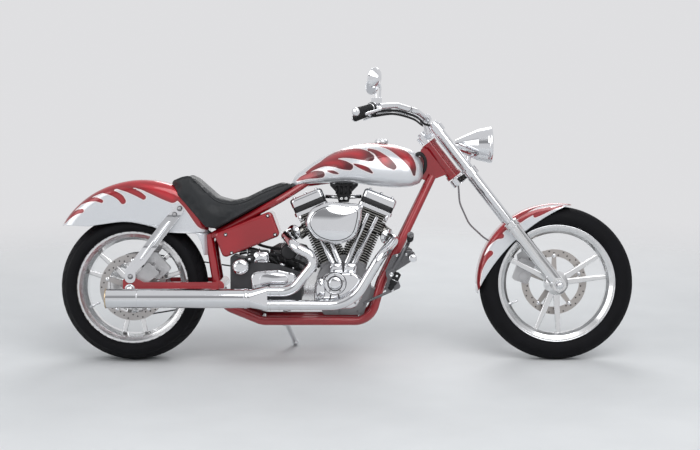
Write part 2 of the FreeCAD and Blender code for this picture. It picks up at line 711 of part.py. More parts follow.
def under_crown(inset):
    """Everything under the fender's crown, its edges rounded, moved in by inset."""
    crown = moved_in(fender_outer, inset)
    bends = [0.0] + [r - inset for r in fender_outer_bends] + [0.0, 0.0, 0.0]
    foot = [(crown[-1][0], 250.0), (crown[0][0], 250.0)]
    half = fender_half - inset
    block = plate(crown + foot, -half, half, bends)
    line = path([(x, 0, z) for x, z in crown], bends[1:4])
    edges = []
    for edge in block.Edges:
        mid = edge.valueAt((edge.FirstParameter + edge.LastParameter) / 2)
        flat = Part.Vertex(vec((mid.x, 0, mid.z)))
        if abs(abs(mid.y) - half) < 0.1 and line.distToShape(flat)[0] < 1.0:
            edges.append(edge)
    return block.makeFillet(fender_crown - inset, edges)


def rear_fender():
    """A deep fender with flat sides and a rounded crown, open below."""
    shell = under_crown(0.0).cut(under_crown(rear_fender_wall))
    bends = [0.0] + fender_outer_bends + [0.0] + fender_lower_bends
    return shell.common(plate(moved_in(fender_outer, -1.0) + fender_lower, -300.0, 300.0, bends))


strut_line = [(0.726, 1.052), (0.517, 0.775), (0.209, 0.351), (0.074, 0.215), (0.074, 0.080),
              (-0.068, 0.080), (-0.068, 0.252), (0.074, 0.425), (0.388, 0.855), (0.603, 1.126)]
strut_outline = [(x * rear_tyre["radius"], rear_axle[1] + z * rear_tyre["radius"])
                 for x, z in strut_line]      # strut_line is in tyre radii, from the rear axle
strut_bends = [r * rear_tyre["radius"] for r in (0.05, 0.18, 0.12, 0.025, 0.067, 0.067,
                                                 0.025, 0.12, 0.18, 0.05)]
strut_thickness = 9.0


def fender_struts():
    """Struts flat on the fender's sides that step out to the swingarm's plates."""
    near, far = fender_half + fit_gap, swing_y + swing_half + fit_gap
    t = strut_thickness
    found = []
    for side in (-1, 1):
        high, out, low = [rear_axle[1] + k * rear_tyre["radius"] for k in (0.966, 0.551, -0.08)]
        top = high + 200.0
        step = [(near, top), (near, high), (far, out), (far, low), (far + t, low),
                (far + t, out + 3), (near + t, high + 3), (near + t, top)]
        wire = path([(-100.0, side * y, z) for y, z in step], [0, 40, 40, 0, 0, 40, 40, 0], closed=True)
        sheet = Part.Face(wire).extrude(vec((400.0, 0, 0)))
        flat = plate(strut_outline, -300.0, 300.0, strut_bends)
        found.append(flat.common(sheet))
    return Part.makeCompound(found)


# ---- seat and tanks ----
seat_outline = [(167.0, 795.0), (251.0, 817.0), (290.0, 786.0), (369.0, 716.0), (440.0, 698.0),
                (510.0, 716.0), (589.0, 755.0), (698.0, 795.0), (705.0, 768.0), (369.0, 586.0),
                (325.0, 593.0), (176.0, 760.0)]
seat_bends = [10.0, 22.0, 20.0, 60.0, 60.0, 60.0, 60.0, 12.0, 6.0, 10.0, 12.0, 12.0]
seat_plan = [(160.0, -60.0), (200.0, -128.0), (330.0, -146.0), (470.0, -140.0), (600.0, -92.0),
             (712.0, -62.0)]


def seat(frame):
    """A solo saddle with a raised lip behind, wrapped over the fender and the rails."""
    side = plate(seat_outline, -160.0, 160.0, seat_bends)
    edge = seat_plan + [(x, -y) for x, y in reversed(seat_plan)]
    above = plan(edge, 500.0, 900.0, [40, 50, 80, 80, 80, 20, 20, 80, 80, 80, 50, 40])
    body = side.common(above).cut(under_crown(-fit_gap))
    return body.cut(seat_rail_room() + frame)


def seat_rail_room():
    """The seat rails grown by the gap, to be cut from what rests on them."""
    return [bar([(x, s * y, z) for x, y, z in seat_rail], frame_tube * 0.84 + fit_gap, 120.0)
            for s in (-1, 1)]


tank_sections = [    # x, bottom, top, half width low, half width high, upper bend
    dict(x=704.0, low=773.0, top=800.0, half_low=32.0, half_top=24.0, bend=12.0),
    dict(x=760.0, low=779.0, top=852.0, half_low=66.0, half_top=44.0, bend=30.0),
    dict(x=860.0, low=784.0, top=914.0, half_low=106.0, half_top=70.0, bend=48.0),
    dict(x=980.0, low=781.0, top=953.0, half_low=132.0, half_top=88.0, bend=62.0),
    dict(x=1090.0, low=768.0, top=962.0, half_low=134.0, half_top=90.0, bend=64.0),
    dict(x=1180.0, low=764.0, top=946.0, half_low=114.0, half_top=74.0, bend=56.0),
    dict(x=1240.0, low=773.0, top=922.0, half_low=92.0, half_top=60.0, bend=44.0),
    dict(x=1266.0, low=788.0, top=900.0, half_low=68.0, half_top=44.0, bend=34.0),
    dict(x=1278.0, low=806.0, top=882.0, half_low=46.0, half_top=30.0, bend=22.0),
]


def tank_section(size):
    """A rounded section across the tank: flat foot, bulging sides, curved top."""
    low, top = size["low"], size["top"]
    waist = low + (top - low) * 0.38
    half_low, half_top = size["half_low"], size["half_top"]
    points = [(-half_low * 0.86, low), (-half_low, waist), (-half_top, top - (top - low) * 0.12),
              (0.0, top), (half_top, top - (top - low) * 0.12), (half_low, waist),
              (half_low * 0.86, low)]
    p = [vec((size["x"], y, z)) for y, z in points]
    edges = [Part.Arc(p[0], p[1], p[2]), Part.Arc(p[2], p[3], p[4]), Part.Arc(p[4], p[5], p[6]),
             Part.LineSegment(p[6], p[0])]
    return Part.Wire([edge.toShape() for edge in edges])


cap_at = (1095.0, 961.0)
cap_radius = 31.0


def tanks(frame):
    body = Part.makeLoft([tank_section(size) for size in tank_sections], True, False)
    clear = backbone_radius + fit_gap
    spine_top = moved_in([(x, z) for x, y, z in reversed(backbone)], -clear)
    tunnel = plate([(690.0, 600.0), (690.0, spine_top[0][1] - 17.0)] + spine_top
                   + [(1320.0, spine_top[-1][1]), (1320.0, 600.0)], -clear, clear)
    x, z = cap_at
    neck_hole = rod((x, 0, z - 26), (x, 0, z + 60), cap_radius - 6)
    notch = Part.makeBox(60.0, 2 * clear, 300.0, vec((neck_foot[0] - 143.0 - 6.0, -clear, 700.0)))
    fuel = body.cut(tunnel).cut(neck_hole).cut(seat_rail_room()).cut(notch)
    cap = lathe([(-25, 0), (-25, cap_radius - 6), (0, cap_radius - 6), (0, cap_radius), (10, cap_radius),
                 (17, cap_radius - 9), (17, 0)], (x, 0, z + fit_gap), (0, 0, 1), [0, 0, 0, 2, 5, 4, 0])
    return {"fuel_tank": fuel, "fuel_cap": cap.cut(fuel)}


def oil_tank(frame):
    """The rounded oil tank under the seat, between the rear posts and the engine."""
    outline = [(tyre_front + 33, 566.0), (611.0, 664.0), (652.0, 556.0), (tyre_front + 77, 456.0)]
    block = plate(outline, -124.0, 124.0, 20.0)
    block = block.makeFillet(14.0, [e for e in block.Edges
                                    if abs(e.Vertexes[0].Y - e.Vertexes[-1].Y) < 0.1])
    return block.cut(frame)


# ---- engine ----
barrel_from, barrel_to = 128.0, 272.0     # along the cylinder from the crankshaft
head_to = 360.0
rocker_to = 440.0
rocker_half = 78.0          # half the rocker box's length across the cylinder


def on_cylinder(shape, side):
    """Puts a shape drawn up the Z axis on the front (1) or rear (-1) cylinder."""
    turned = shape.copy()
    turned.rotate(vec((0, 0, 0)), vec((0, 1, 0)), side * vee_half_angle)
    turned.translate(vec((crank[0], 0, crank[1])))
    return turned


def slab(half_x, half_y, low, high, bend):
    outline = [(-half_x, -half_y), (half_x, -half_y), (half_x, half_y), (-half_x, half_y)]
    return plan(outline, low, high, bend)


def fins(low, high, half_x, half_y, bend):
    found = []
    z = low
    while z + fin_thickness <= high:
        found.append(slab(half_x, half_y, z, z + fin_thickness, bend))
        z += fin_pitch
    return found


def cylinder(side):
    """A finned barrel and head, with the exhaust port on the outer side of the vee."""
    core = Part.makeCylinder(50.0, barrel_to - barrel_from + 20, vec((0, 0, barrel_from - 20)))
    head = slab(50.0, 54.0, barrel_to - 2, head_to, 16.0)
    stack = fins(barrel_from, barrel_to, cylinder_half - 4, cylinder_half, 26.0)
    stack += fins(barrel_to + 4, head_to, cylinder_half + 2, cylinder_half + 4, 18.0)
    port = rod((side * 40.0, -22.0, 300.0), (side * 94.0, -40.0, 286.0), 27.0)
    return on_cylinder(union([core, head, port] + stack), side)


def rocker_box():
    """Three layers: a base, a middle band and a domed cover."""
    base = slab(rocker_half, 76.0, head_to, head_to + 16, 18.0)
    band = slab(rocker_half - 6, 70.0, head_to + 16, head_to + 42, 16.0)
    cover = slab(rocker_half - 2, 74.0, head_to + 42, rocker_to, 20.0)
    cover = cover.makeFillet(14.0, [e for e in cover.Edges if e.BoundBox.ZMin > rocker_to - 0.1])
    return union([base, band, cover])


tappets = [dict(side=-1, foot=-46.0, head=-20.0), dict(side=-1, foot=-14.0, head=22.0),
           dict(side=1, foot=14.0, head=-22.0), dict(side=1, foot=46.0, head=20.0)]


def pushrod_tubes(heads):
    """Chromed tubes from the tappet blocks to the heads, each thicker at its foot."""
    found = []
    for item in tappets:
        foot = (crank[0] + item["foot"], -104.0, crank[1] + 102.0)
        a = math.radians(vee_half_angle) * item["side"]
        along, across = head_to - 22.0, item["head"]
        top = (crank[0] + math.sin(a) * along + math.cos(a) * across, -78.0,
               crank[1] + math.cos(a) * along - math.sin(a) * across)
        tube = rod(foot, top, 9.0)
        share = [tuple(p + (q - p) * t for p, q in zip(foot, top)) for t in (0.0, 0.30)]
        found.append(union([tube, rod(share[0], share[1], 12.5)]).cut(heads))
    return Part.makeCompound(found)


def crankcase():
    """Round cases joined by the cylinder decks and the tappet blocks."""
    x, z = crank
    drum = rod((x, -78, z), (x, 86, z), 122.0)
    decks = [on_cylinder(slab(62.0, 66.0, 60.0, barrel_from - 0.0, 10.0), side) for side in (-1, 1)]
    foot = plate([(x - 110, z - 60), (x + 110, z - 60), (x + 88, z - 126), (x - 88, z - 126)], -70, 70, 14.0)
    front = plate([(x + 60, z - 80), (x + 150, z - 60), (x + 150, z - 20), (x + 60, z + 30)], -62, 62, 10.0)
    blocks = [Part.makeBox(52.0, 48.0, 42.0, vec((x + dx - 26, -118.0, z + 62))) for dx in (-31.0, 31.0)]
    shaft = rod((x, 80, z), (x, primary_y, z), 62.0)
    return union([drum, foot, front, shaft] + decks + blocks)


cover_at = (890.0, 349.0)


def engine_covers(case, gearbox):
    """The cam cover with its round cap, and the gearbox's side cover."""
    x, z = crank
    outline = [(x - 128, z - 64), (x - 60, z - 96), (x + 52, z - 92), (x + 84, z - 40), (x + 88, z + 34),
               (x + 48, z + 66), (x - 66, z + 66), (x - 124, z + 22)]
    body = plate(outline, -148.0, -78.0 - fit_gap, [30, 40, 40, 40, 26, 30, 30, 30])
    rim = [e for e in body.Edges if e.BoundBox.YMax < -147.9]
    body = body.makeFillet(12.0, rim)
    cap = rod((cover_at[0], -164, cover_at[1]), (cover_at[0], -140, cover_at[1]), 48.0)
    cap = cap.makeFillet(5.0, [e for e in cap.Edges if e.BoundBox.YMax < -163.9])
    side = plate([(530.0, 300.0), (715.0, 314.0), (722.0, 392.0), (640.0, 408.0), (519.0, 397.0)],
                 -132.0, -92.0, [24, 24, 24, 30, 30])
    side = side.makeFillet(9.0, [e for e in side.Edges if e.BoundBox.YMax < -131.9])
    return Part.makeCompound([union([body, cap]).cut(case), side.cut(gearbox)])


primary_y = 138.0
clutch_at = (562.0, 330.0)
clutch_pulley = 52.0


def transmission():
    """The gearbox behind the engine, its output shaft, and the starter on top."""
    back = pivot_at[0] + 46.0
    box = plate([(back, 250.0), (660.0, 236.0), (742.0, 262.0), (742.0, 392.0), (640.0, 428.0),
                 (560.0, 441.0), (back, 470.0)], -92.0, 66.0, 14.0)
    starter = rod((478.0, -128.0, 419.0), (478.0, 98.0, 419.0), 34.0)
    motor = plate([(512.0, 430.0), (597.0, 430.0), (597.0, 488.0), (520.0, 493.0)], -90.0, -20.0, 10.0)
    shaft = rod((clutch_at[0], 60, clutch_at[1]), (clutch_at[0], primary_y, clutch_at[1]), 24.0)
    wheel = rod((clutch_at[0], pulley_y, clutch_at[1]),
                (clutch_at[0], pulley_y + pulley_width, clutch_at[1]), clutch_pulley)
    return union([box, starter, motor, shaft, wheel])


def primary_cover():
    """The long cover over the primary drive, on the left."""
    x0, z0 = crank
    x1, z1 = clutch_at
    outline = [(x1 - 128, z1 - 96), (x1 - 30, z1 - 118), (x0 + 30, z0 - 100), (x0 + 108, z0 - 60),
               (x0 + 108, z0 + 62), (x0 + 30, z0 + 100), (x1 + 70, z1 + 112), (x1 - 110, z1 + 124)]
    body = plate(outline, primary_y + fit_gap, primary_y + 62.0, [70, 90, 90, 60, 60, 90, 120, 80])
    outer = [e for e in body.Edges if e.BoundBox.YMin > primary_y + 61.9]
    body = body.makeFillet(16.0, outer)
    cap = rod((x1, primary_y + 56, z1), (x1, primary_y + 68, z1), 66.0)
    return union([body, cap])


def carburetor():
    """Intake runners meeting in the vee, and the body that carries the air cleaner."""
    x, z = crank[0] + 2, 616.0
    body = rod((x - 8, -72, z), (x - 26, -168, z + 22), 31.0)
    bowl = rod((x - 16, -118, z - 46), (x - 16, -118, z), 26.0)
    runners = [rod((x, -60, z), (x + s * 62, -30, z + 8), 21.0) for s in (-1, 1)]
    joint = rod((x, -44, z), (x - 8, -92, z + 4), 26.0)
    return union([body, bowl, joint] + runners)


def air_cleaner():
    """An egg-shaped cleaner standing out past the engine's right side."""
    outline = [(756.0, 612.0), (784.0, 672.0), (860.0, 706.0), (1010.0, 696.0), (1004.0, 626.0),
               (980.0, 549.0), (900.0, 518.0), (802.0, 544.0)]
    body = plate(outline, -240.0, -168.0, [50, 60, 80, 30, 70, 50, 80, 60])
    outer = [e for e in body.Edges if e.BoundBox.YMax < -239.9]
    return body.makeFillet(26.0, outer)


# ---- drive belt and exhaust ----
def drive_belt():
    """The belt's loop round both pulleys."""
    a, ra = rear_axle, pulley_radius + belt_gap
    b, rb = clutch_at, clutch_pulley + belt_gap
    y0 = pulley_y + (pulley_width - belt_width) / 2
    loops = []
    for grow in (belt_thickness, 0.0):
        loops.append(belt_face(a, ra + grow, b, rb + grow, y0))
    return loops[0].cut(loops[1]).extrude(vec((0, belt_width, 0)))


def belt_face(a, ra, b, rb, y):
    """The face inside a belt's line round two circles."""
    dx, dz = b[0] - a[0], b[1] - a[1]
    span = math.hypot(dx, dz)
    tilt = math.degrees(math.atan2(dz, dx))
    open_angle = math.degrees(math.acos((ra - rb) / span))

    def at(centre, radius, angle):
        x, z = polar(centre, radius, angle)
        return vec((x, y, z))

    up, down = tilt + open_angle, tilt - open_angle
    edges = [
        Part.Arc(at(a, ra, up), at(a, ra, tilt + 180), at(a, ra, down)),
        Part.LineSegment(at(a, ra, down), at(b, rb, down)),
        Part.Arc(at(b, rb, down), at(b, rb, tilt), at(b, rb, up)),
        Part.LineSegment(at(b, rb, up), at(a, ra, up)),
    ]
    return Part.Face(Part.Wire([edge.toShape() for edge in edges]))


pipe_y = -228.0
muffler_z = 290.0
muffler_span = (-97.0, 525.0)
pipe_routes = [
    dict(z=320.0, points=[(714.0, -40.0, 570.0), (672.0, -110.0, 556.0), (716.0, pipe_y, 512.0),
                          (818.0, pipe_y, 462.0), (704.0, pipe_y, 320.0), (600.0, pipe_y, 320.0)],
         bends=[40.0, 60.0, 42.0, 80.0]),
    dict(z=261.0, points=[(1114.0, -40.0, 548.0), (1150.0, -110.0, 536.0), (1086.0, pipe_y, 470.0),
                          (960.0, pipe_y, 261.0), (600.0, pipe_y, 261.0)],
         bends=[36.0, 70.0, 160.0]),
]


def exhaust_pipes(block):
    found = []
    for route in pipe_routes:
        found.append(bar(route["points"], pipe_radius, route["bends"]).cut(block))
    return Part.makeCompound(found)


def capsule(x, z, half, radius):
    """An upright capsule outline at one x, as a wire."""
    y = pipe_y
    right, left = (y + radius), (y - radius)
    p = [vec(q) for q in ((x, right, z - half), (x, right, z + half), (x, y, z + half + radius),
                          (x, left, z + half), (x, left, z - half), (x, y, z - half - radius))]
    edges = [Part.LineSegment(p[0], p[1]), Part.Arc(p[1], p[2], p[3]), Part.LineSegment(p[3], p[4]),
             Part.Arc(p[4], p[5], p[0])]
    return Part.Wire([edge.toShape() for edge in edges])


def muffler(pipes):
    """One long muffler fed by a collector that takes both pipes; open at its tail."""
    start, end = muffler_span
    tube = rod((start, pipe_y, muffler_z), (end, pipe_y, muffler_z), muffler_radius)
    hollow = rod((start - 5, pipe_y, muffler_z), (start + 90, pipe_y, muffler_z), muffler_radius - 3.0)
    collector = Part.makeLoft([capsule(600.0, muffler_z, 30.0, pipe_radius + 3.0),
                               capsule(end - 3.0, muffler_z, 2.0, muffler_radius - 4.0)], True, True)
    stay = Part.makeBox(34.0, 60.0, 24.0, vec((300.0, pipe_y + 20, muffler_z + 10)))
    body = union([tube, collector]).cut(hollow)
    return union([body, stay]).cut(pipes)


# ---- foot controls and side stand ----
peg_at = (1222.0, 468.0)


def foot_pegs():
    found = []
    for side in (-1, 1):
        found.append(rod((peg_at[0], side * 196.0, peg_at[1]), (peg_at[0], side * 318.0, peg_at[1]), 17.0))
    return Part.makeCompound(found)


def foot_controls(frame):
    """Brackets on the down tubes, with peg mounts, pedals and their links."""
    found = []
    for side in (-1, 1):
        y0, y1 = sorted((side * 112.0, side * 136.0))
        arm = plate([(1100.0, 380.0), (1148.0, 396.0), (1236.0, 452.0), (1238.0, 486.0),
                     (1206.0, 492.0), (1140.0, 470.0)], y0, y1, 12.0)
        mount = rod((peg_at[0], side * 124.0, peg_at[1]), (peg_at[0], side * (196.0 - fit_gap), peg_at[1]), 12.0)
        lever = plate([(1120.0, 392.0), (1152.0, 396.0), (1178.0, 330.0), (1110.0, 300.0)],
                      *sorted((side * 137.0, side * 150.0)), bend=12.0)
        boss = rod((1136.0, side * 124.0, 388.0), (1136.0, side * 162.0, 388.0), 24.0)
        back = 1012.0 if side < 0 else crank[0] + 122.0
        link = bar([(1140.0, side * 144.0, 318.0), (back, side * 150.0, 262.0)], 6.0)
        pedal = bar([(1136.0, side * 150.0, 392.0), (1206.0, side * 168.0, 520.0),
                     (1214.0, side * 262.0, 560.0)], 8.0, 30.0)
        pad = rod((1214.0, side * 222.0, 544.0), (1214.0, side * 286.0, 568.0), 13.0)
        found.append(union([arm, mount, lever, boss, link, pedal, pad]).cut(frame))
    return Part.makeCompound(found)


stand_at = (660.0, 158.0, 160.0)
stand_down = (0.28, 0.62, -0.73)
stand_radius = 11.0
stand_ball = 15.0


def stand_length():
    """How far the leg reaches for its round foot to rest on the leaned ground."""
    slope = math.tan(math.radians(lean))
    d = vec(stand_down).normalize()
    over = stand_ball / math.cos(math.radians(lean))
    x, y, z = stand_at
    return (z - over - slope * y) / (slope * d.y - d.z)


def side_stand():
    """The leg, its hinge eye and its round foot, as it stands."""
    d = vec(stand_down).normalize()
    axis = stand_axis()
    start = vec(stand_at)
    foot = start + d * stand_length()
    eye = rod(tuple(start - axis * 12.0), tuple(start + axis * 12.0), 19.0)
    leg = rod(tuple(start + d * 10.0), tuple(foot), stand_radius)
    ball = Part.makeSphere(stand_ball, foot)
    bore = rod(tuple(start - axis * 40.0), tuple(start + axis * 40.0), 8.05)
    return union([leg, ball, eye]).cut(bore)


def stand_axis():
    """The hinge's direction: across the leg as it stands and as it is folded back."""
    down = vec(stand_down).normalize()
    folded = vec((-0.985, 0.17, 0.03)).normalize()
    return down.cross(folded).normalize()


def stand_bracket(frame):
    """A fork on the left rail that holds the stand's pin."""
    axis = stand_axis()
    start = vec(stand_at)
    pin = rod(tuple(start - axis * 24.0), tuple(start + axis * 24.0), 8.0)
    cheeks = []
    for side in (-1, 1):
        a = start + axis * (side * 13.0)
        b = start + axis * (side * 22.0)
        cheek = rod(tuple(a), tuple(b), 19.0)
        low, high = sorted((side * 13.0, side * 22.0))
        arm = Part.makeBox(46.0, 36.0, high - low, vec((-46.0, -18.0, low)))
        turn = FreeCAD.Rotation(vec((1, 0, 0)), vec((0, 0, 0)), axis, "ZXY")
        inward = vec((0, -1, 0)) - axis * axis.dot(vec((0, -1, 0)))
        turn = FreeCAD.Rotation(inward * -1, vec((0, 0, 0)), axis, "ZXY")
        arm.Placement = FreeCAD.Placement(start, turn)
        cheeks += [cheek, arm]
    return union([pin] + cheeks).cut(frame)


# ---- the whole bike ----
def build():
    nodes = {}
    nodes.update(frame_parts())
    frame = list(nodes.values())
    nodes["swingarm"] = swingarm(frame)
    nodes["rear_axle"] = rear_axle_rod()
    nodes["rear_caliper"] = rear_caliper(nodes["swingarm"], nodes["rear_axle"])
    nodes["rear_fender"] = rear_fender().cut(frame)
    nodes["fender_struts"] = fender_struts()
    nodes["seat"] = seat(frame)
    nodes.update(tanks(frame))
    nodes["oil_tank"] = oil_tank(frame)
    cylinders = [cylinder(side) for side in (-1, 1)]
    case = crankcase().cut(frame)
    cylinders = [barrel.cut(case) for barrel in cylinders]
    nodes["crankcase"] = case
    nodes["cylinders"] = Part.makeCompound(cylinders)
    nodes["rocker_boxes"] = Part.makeCompound([on_cylinder(rocker_box(), side) for side in (-1, 1)])
    nodes["transmission"] = transmission().cut(frame + [case])
    nodes["engine_covers"] = engine_covers(case, nodes["transmission"])
    nodes["pushrod_tubes"] = pushrod_tubes(cylinders + [case, nodes["rocker_boxes"]])
    nodes["primary_cover"] = primary_cover()
    nodes["carburetor"] = biggest(carburetor().cut(cylinders + [nodes["rocker_boxes"]]))
    nodes["air_cleaner"] = air_cleaner().cut(nodes["carburetor"])
    nodes["drive_belt"] = drive_belt()
    nodes["exhaust_pipes"] = exhaust_pipes(cylinders + [case])
    nodes["muffler"] = muffler(nodes["exhaust_pipes"]).cut(nodes["swingarm"])
    nodes["foot_pegs"] = foot_pegs()
    nodes["foot_controls"] = foot_controls(frame)
    nodes["side_stand_bracket"] = stand_bracket(frame)
    nodes["side_stand"] = side_stand()
    nodes["triple_clamps"] = triple_clamps()
    nodes["fork_tubes"] = fork_tubes()
    nodes["fork_legs"] = fork_legs().cut(nodes["fork_tubes"])
    nodes["front_axle"] = front_axle_rod(nodes["fork_legs"])
    nodes["handlebar"] = handlebar()
    nodes["grips"] = grips()
    nodes["hand_controls"] = hand_controls().cut([nodes["grips"], nodes["handlebar"]])
    nodes["mirrors"] = mirrors().cut(nodes["hand_controls"])
    nodes["headlamp_shell"] = headlamp_shell().cut(nodes["triple_clamps"])
    nodes["headlamp_lens"] = headlamp_lens()
    nodes["front_fender"] = front_fender()
    nodes["front_caliper"] = front_caliper()
    nodes["brake_hose"] = brake_hose().cut([nodes["triple_clamps"], nodes["front_caliper"]])
    nodes.update(front_wheel_parts())
    nodes.update(rear_wheel_parts())
    return nodes


def park(shape, shift):
    """Leans a shape on to the stand and moves it to the parked bike's origin."""
    turned = shape.copy()
    turned.rotate(vec((0, 0, 0)), vec((1, 0, 0)), -lean)
    turned.translate(shift)
    return turned


def parked(nodes):
    """Every node leaned over, with the origin at the middle of the bottom of the box."""
    box = FreeCAD.BoundBox()
    for shape in nodes.values():
        points = park(shape, vec((0, 0, 0))).tessellate(0.3)[0]
        for point in points:
            box.add(point)
    shift = vec((-box.Center.x, -box.Center.y, -box.ZMin))
    return {name: park(shape, shift) for name, shape in nodes.items()}, shift


def main():
    os.makedirs(PARTS, exist_ok=True)
    nodes, shift = parked(build())
    for name, shape in nodes.items():
        shape.exportStep(os.path.join(PARTS, name + ".step"))
    print("moved by", [round(v, 2) for v in shift])


if __name__ == "__main__":
    main()
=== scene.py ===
import math

import bpy
import bmesh
import numpy as np
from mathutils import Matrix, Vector
from mathutils.bvhtree import BVHTree


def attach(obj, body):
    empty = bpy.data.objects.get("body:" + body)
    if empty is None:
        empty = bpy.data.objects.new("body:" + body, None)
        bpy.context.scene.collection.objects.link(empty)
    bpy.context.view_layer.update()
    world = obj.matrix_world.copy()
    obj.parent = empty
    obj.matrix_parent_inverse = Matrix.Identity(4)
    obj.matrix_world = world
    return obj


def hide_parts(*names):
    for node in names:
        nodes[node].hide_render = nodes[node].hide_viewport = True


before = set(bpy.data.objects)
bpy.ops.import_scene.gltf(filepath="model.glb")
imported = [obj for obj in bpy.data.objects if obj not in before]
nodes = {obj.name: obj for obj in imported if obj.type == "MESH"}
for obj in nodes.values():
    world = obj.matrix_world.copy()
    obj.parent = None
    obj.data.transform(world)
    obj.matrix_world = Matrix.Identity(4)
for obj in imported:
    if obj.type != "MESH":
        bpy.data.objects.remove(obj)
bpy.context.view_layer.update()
print("frame loaded:", len(nodes), "nodes")

# Shapes are worked out on the upright bike, in metres: +X forward, +Y to the left, +Z up,
# x = 0 at the rear axle. place() leans them on to the side stand, as the bike is parked.
stance = {"lean": math.radians(7.0), "shift": (-0.94277, -0.1327, 0.0)}
rearAxle = (0.0, 0.32598)
frontAxle = (1.870, 0.34043)
toLeft, toRight, toFront = (0, 1, 0), (0, -1, 0), (1, 0, 0)
forkDir = (-math.sin(math.radians(38.0)), 0.0, math.cos(math.radians(38.0)))


def place(points):
    # turns every point about X by the lean, then moves it to the parked origin
    p = np.asarray(points, float).reshape(-1, 3)
    c, s = math.cos(stance["lean"]), math.sin(stance["lean"])
    out = np.stack([p[:, 0], p[:, 1] * c + p[:, 2] * s, -p[:, 1] * s + p[:, 2] * c], 1)
    return out + np.array(stance["shift"])


def unplace(points):
    # the upright bike's coordinates of parked points
    p = np.asarray(points, float) - np.array(stance["shift"])
    c, s = math.cos(stance["lean"]), math.sin(stance["lean"])
    return np.stack([p[:, 0], p[:, 1] * c - p[:, 2] * s, p[:, 1] * s + p[:, 2] * c], 1)


def mm(*values):
    # millimetres as a tuple in metres
    return tuple(v / 1000.0 for v in values)


def metres(rows):
    # rows in millimetres as an array in metres
    return np.array(rows, float) / 1000.0


def onFork(along, ahead=0.0, y=0.0):
    # the point that far up the fork from the front axle, and ahead of the fork tubes
    x = frontAxle[0] + forkDir[0] * along + forkDir[2] * ahead
    z = frontAxle[1] + forkDir[2] * along - forkDir[0] * ahead
    return (x, y, z)


def gridFaces(rows, cols, wrapRows=False, wrapCols=False):
    # quads between neighbouring rows and columns of a grid of vertices
    r = np.arange(rows if wrapRows else rows - 1)
    c = np.arange(cols if wrapCols else cols - 1)
    i, j = np.meshgrid(r, c, indexing="ij")
    i2, j2 = (i + 1) % rows, (j + 1) % cols
    return np.stack([i * cols + j, i * cols + j2, i2 * cols + j2, i2 * cols + j], -1).reshape(-1, 4)


def patch(points, wrapRows=False, wrapCols=False):
    # a grid of points (rows, columns, 3) as vertices and quads
    rows, cols = points.shape[:2]
    return points.reshape(-1, 3), gridFaces(rows, cols, wrapRows, wrapCols)


def join(parts):
    # several (vertices, quads) pairs as one
    verts, faces, start = [], [], 0
    for v, f in parts:
        verts.append(v)
        faces.append(f + start)
        start += len(v)
    return np.concatenate(verts), np.concatenate(faces)


def circleAbout(axis, count):
    # the axis as a unit vector, and unit vectors evenly spread round it
    a = np.array(axis, float)
    a /= np.linalg.norm(a)
    side = np.cross(a, (0, 0, 1.0) if abs(a[2]) < 0.8 else (1.0, 0, 0))
    side /= np.linalg.norm(side)
    t = np.linspace(0, 2 * math.pi, count, endpoint=False)
    return a, np.cos(t)[:, None] * side + np.sin(t)[:, None] * np.cross(a, side)


def lathe(profile, origin, axis, count):
    # each (along, radius) of the profile turned once round the axis through the origin
    a, circle = circleAbout(axis, count)
    prof = np.array(profile, float)
    pts = np.array(origin, float) + prof[:, 0, None, None] * a + prof[:, 1, None, None] * circle[None]
    return patch(pts, False, True)


def turned(profile, origin, axis, count):
    # the same for a profile in millimetres
    return lathe(metres(profile), origin, axis, count)


def ring(centre, axis, radius, thick, count=64, around=10):
    # a torus about the axis
    t = np.linspace(0, 2 * math.pi, around, endpoint=False)
    prof = np.stack([thick * np.sin(t), radius + thick * np.cos(t)], 1)
    a, circle = circleAbout(axis, count)
    pts = np.array(centre, float) + prof[None, :, :1] * a + prof[None, :, 1:] * circle[:, None]
    return patch(pts, True, True)


def sweep(line, radius, count=14, closed=False):
    # a circle of the radius carried along a line, square to its run at each point
    line = np.array(line, float)
    run = np.roll(line, -1, 0) - np.roll(line, 1, 0) if closed else np.gradient(line, axis=0)
    run /= np.linalg.norm(run, axis=1, keepdims=True)
    mean = np.abs(run).mean(0)
    ref = np.eye(3)[int(np.argmin(mean))]
    side = np.cross(run, ref)
    side /= np.linalg.norm(side, axis=1, keepdims=True)
    up = np.cross(run, side)
    t = np.linspace(0, 2 * math.pi, count, endpoint=False)
    r = np.broadcast_to(np.asarray(radius, float), (len(line),))[:, None, None]
    pts = line[:, None] + r * (np.cos(t)[None, :, None] * side[:, None] + np.sin(t)[None, :,
            None] * up[:, None])
    if closed:
        return patch(pts, True, True)
    pts = np.concatenate([np.repeat(line[:1, None], count, 1), pts, np.repeat(line[-1:, None], count, 1)])
    return patch(pts, False, True)


def hermite(f, a, b, slopeA, slopeB):
    # the cubic from a to b with those slopes, at the share f of the way
    return (a * (2 * f**3 - 3 * f**2 + 1) + slopeA * (f**3 - 2 * f**2 + f)
            + b * (3 * f**2 - 2 * f**3) + slopeB * (f**3 - f**2))


def smoothLine(points, count=60):
    # a curve through the points: cubic pieces whose slope at each point is the mean of its neighbours'
    p = np.array(points, float)
    slope = np.gradient(p, axis=0)
    t = np.linspace(0, len(p) - 1, count)
    i = np.minimum(t.astype(int), len(p) - 2)
    return hermite((t - i)[:, None], p[i], p[i + 1], slope[i], slope[i + 1])


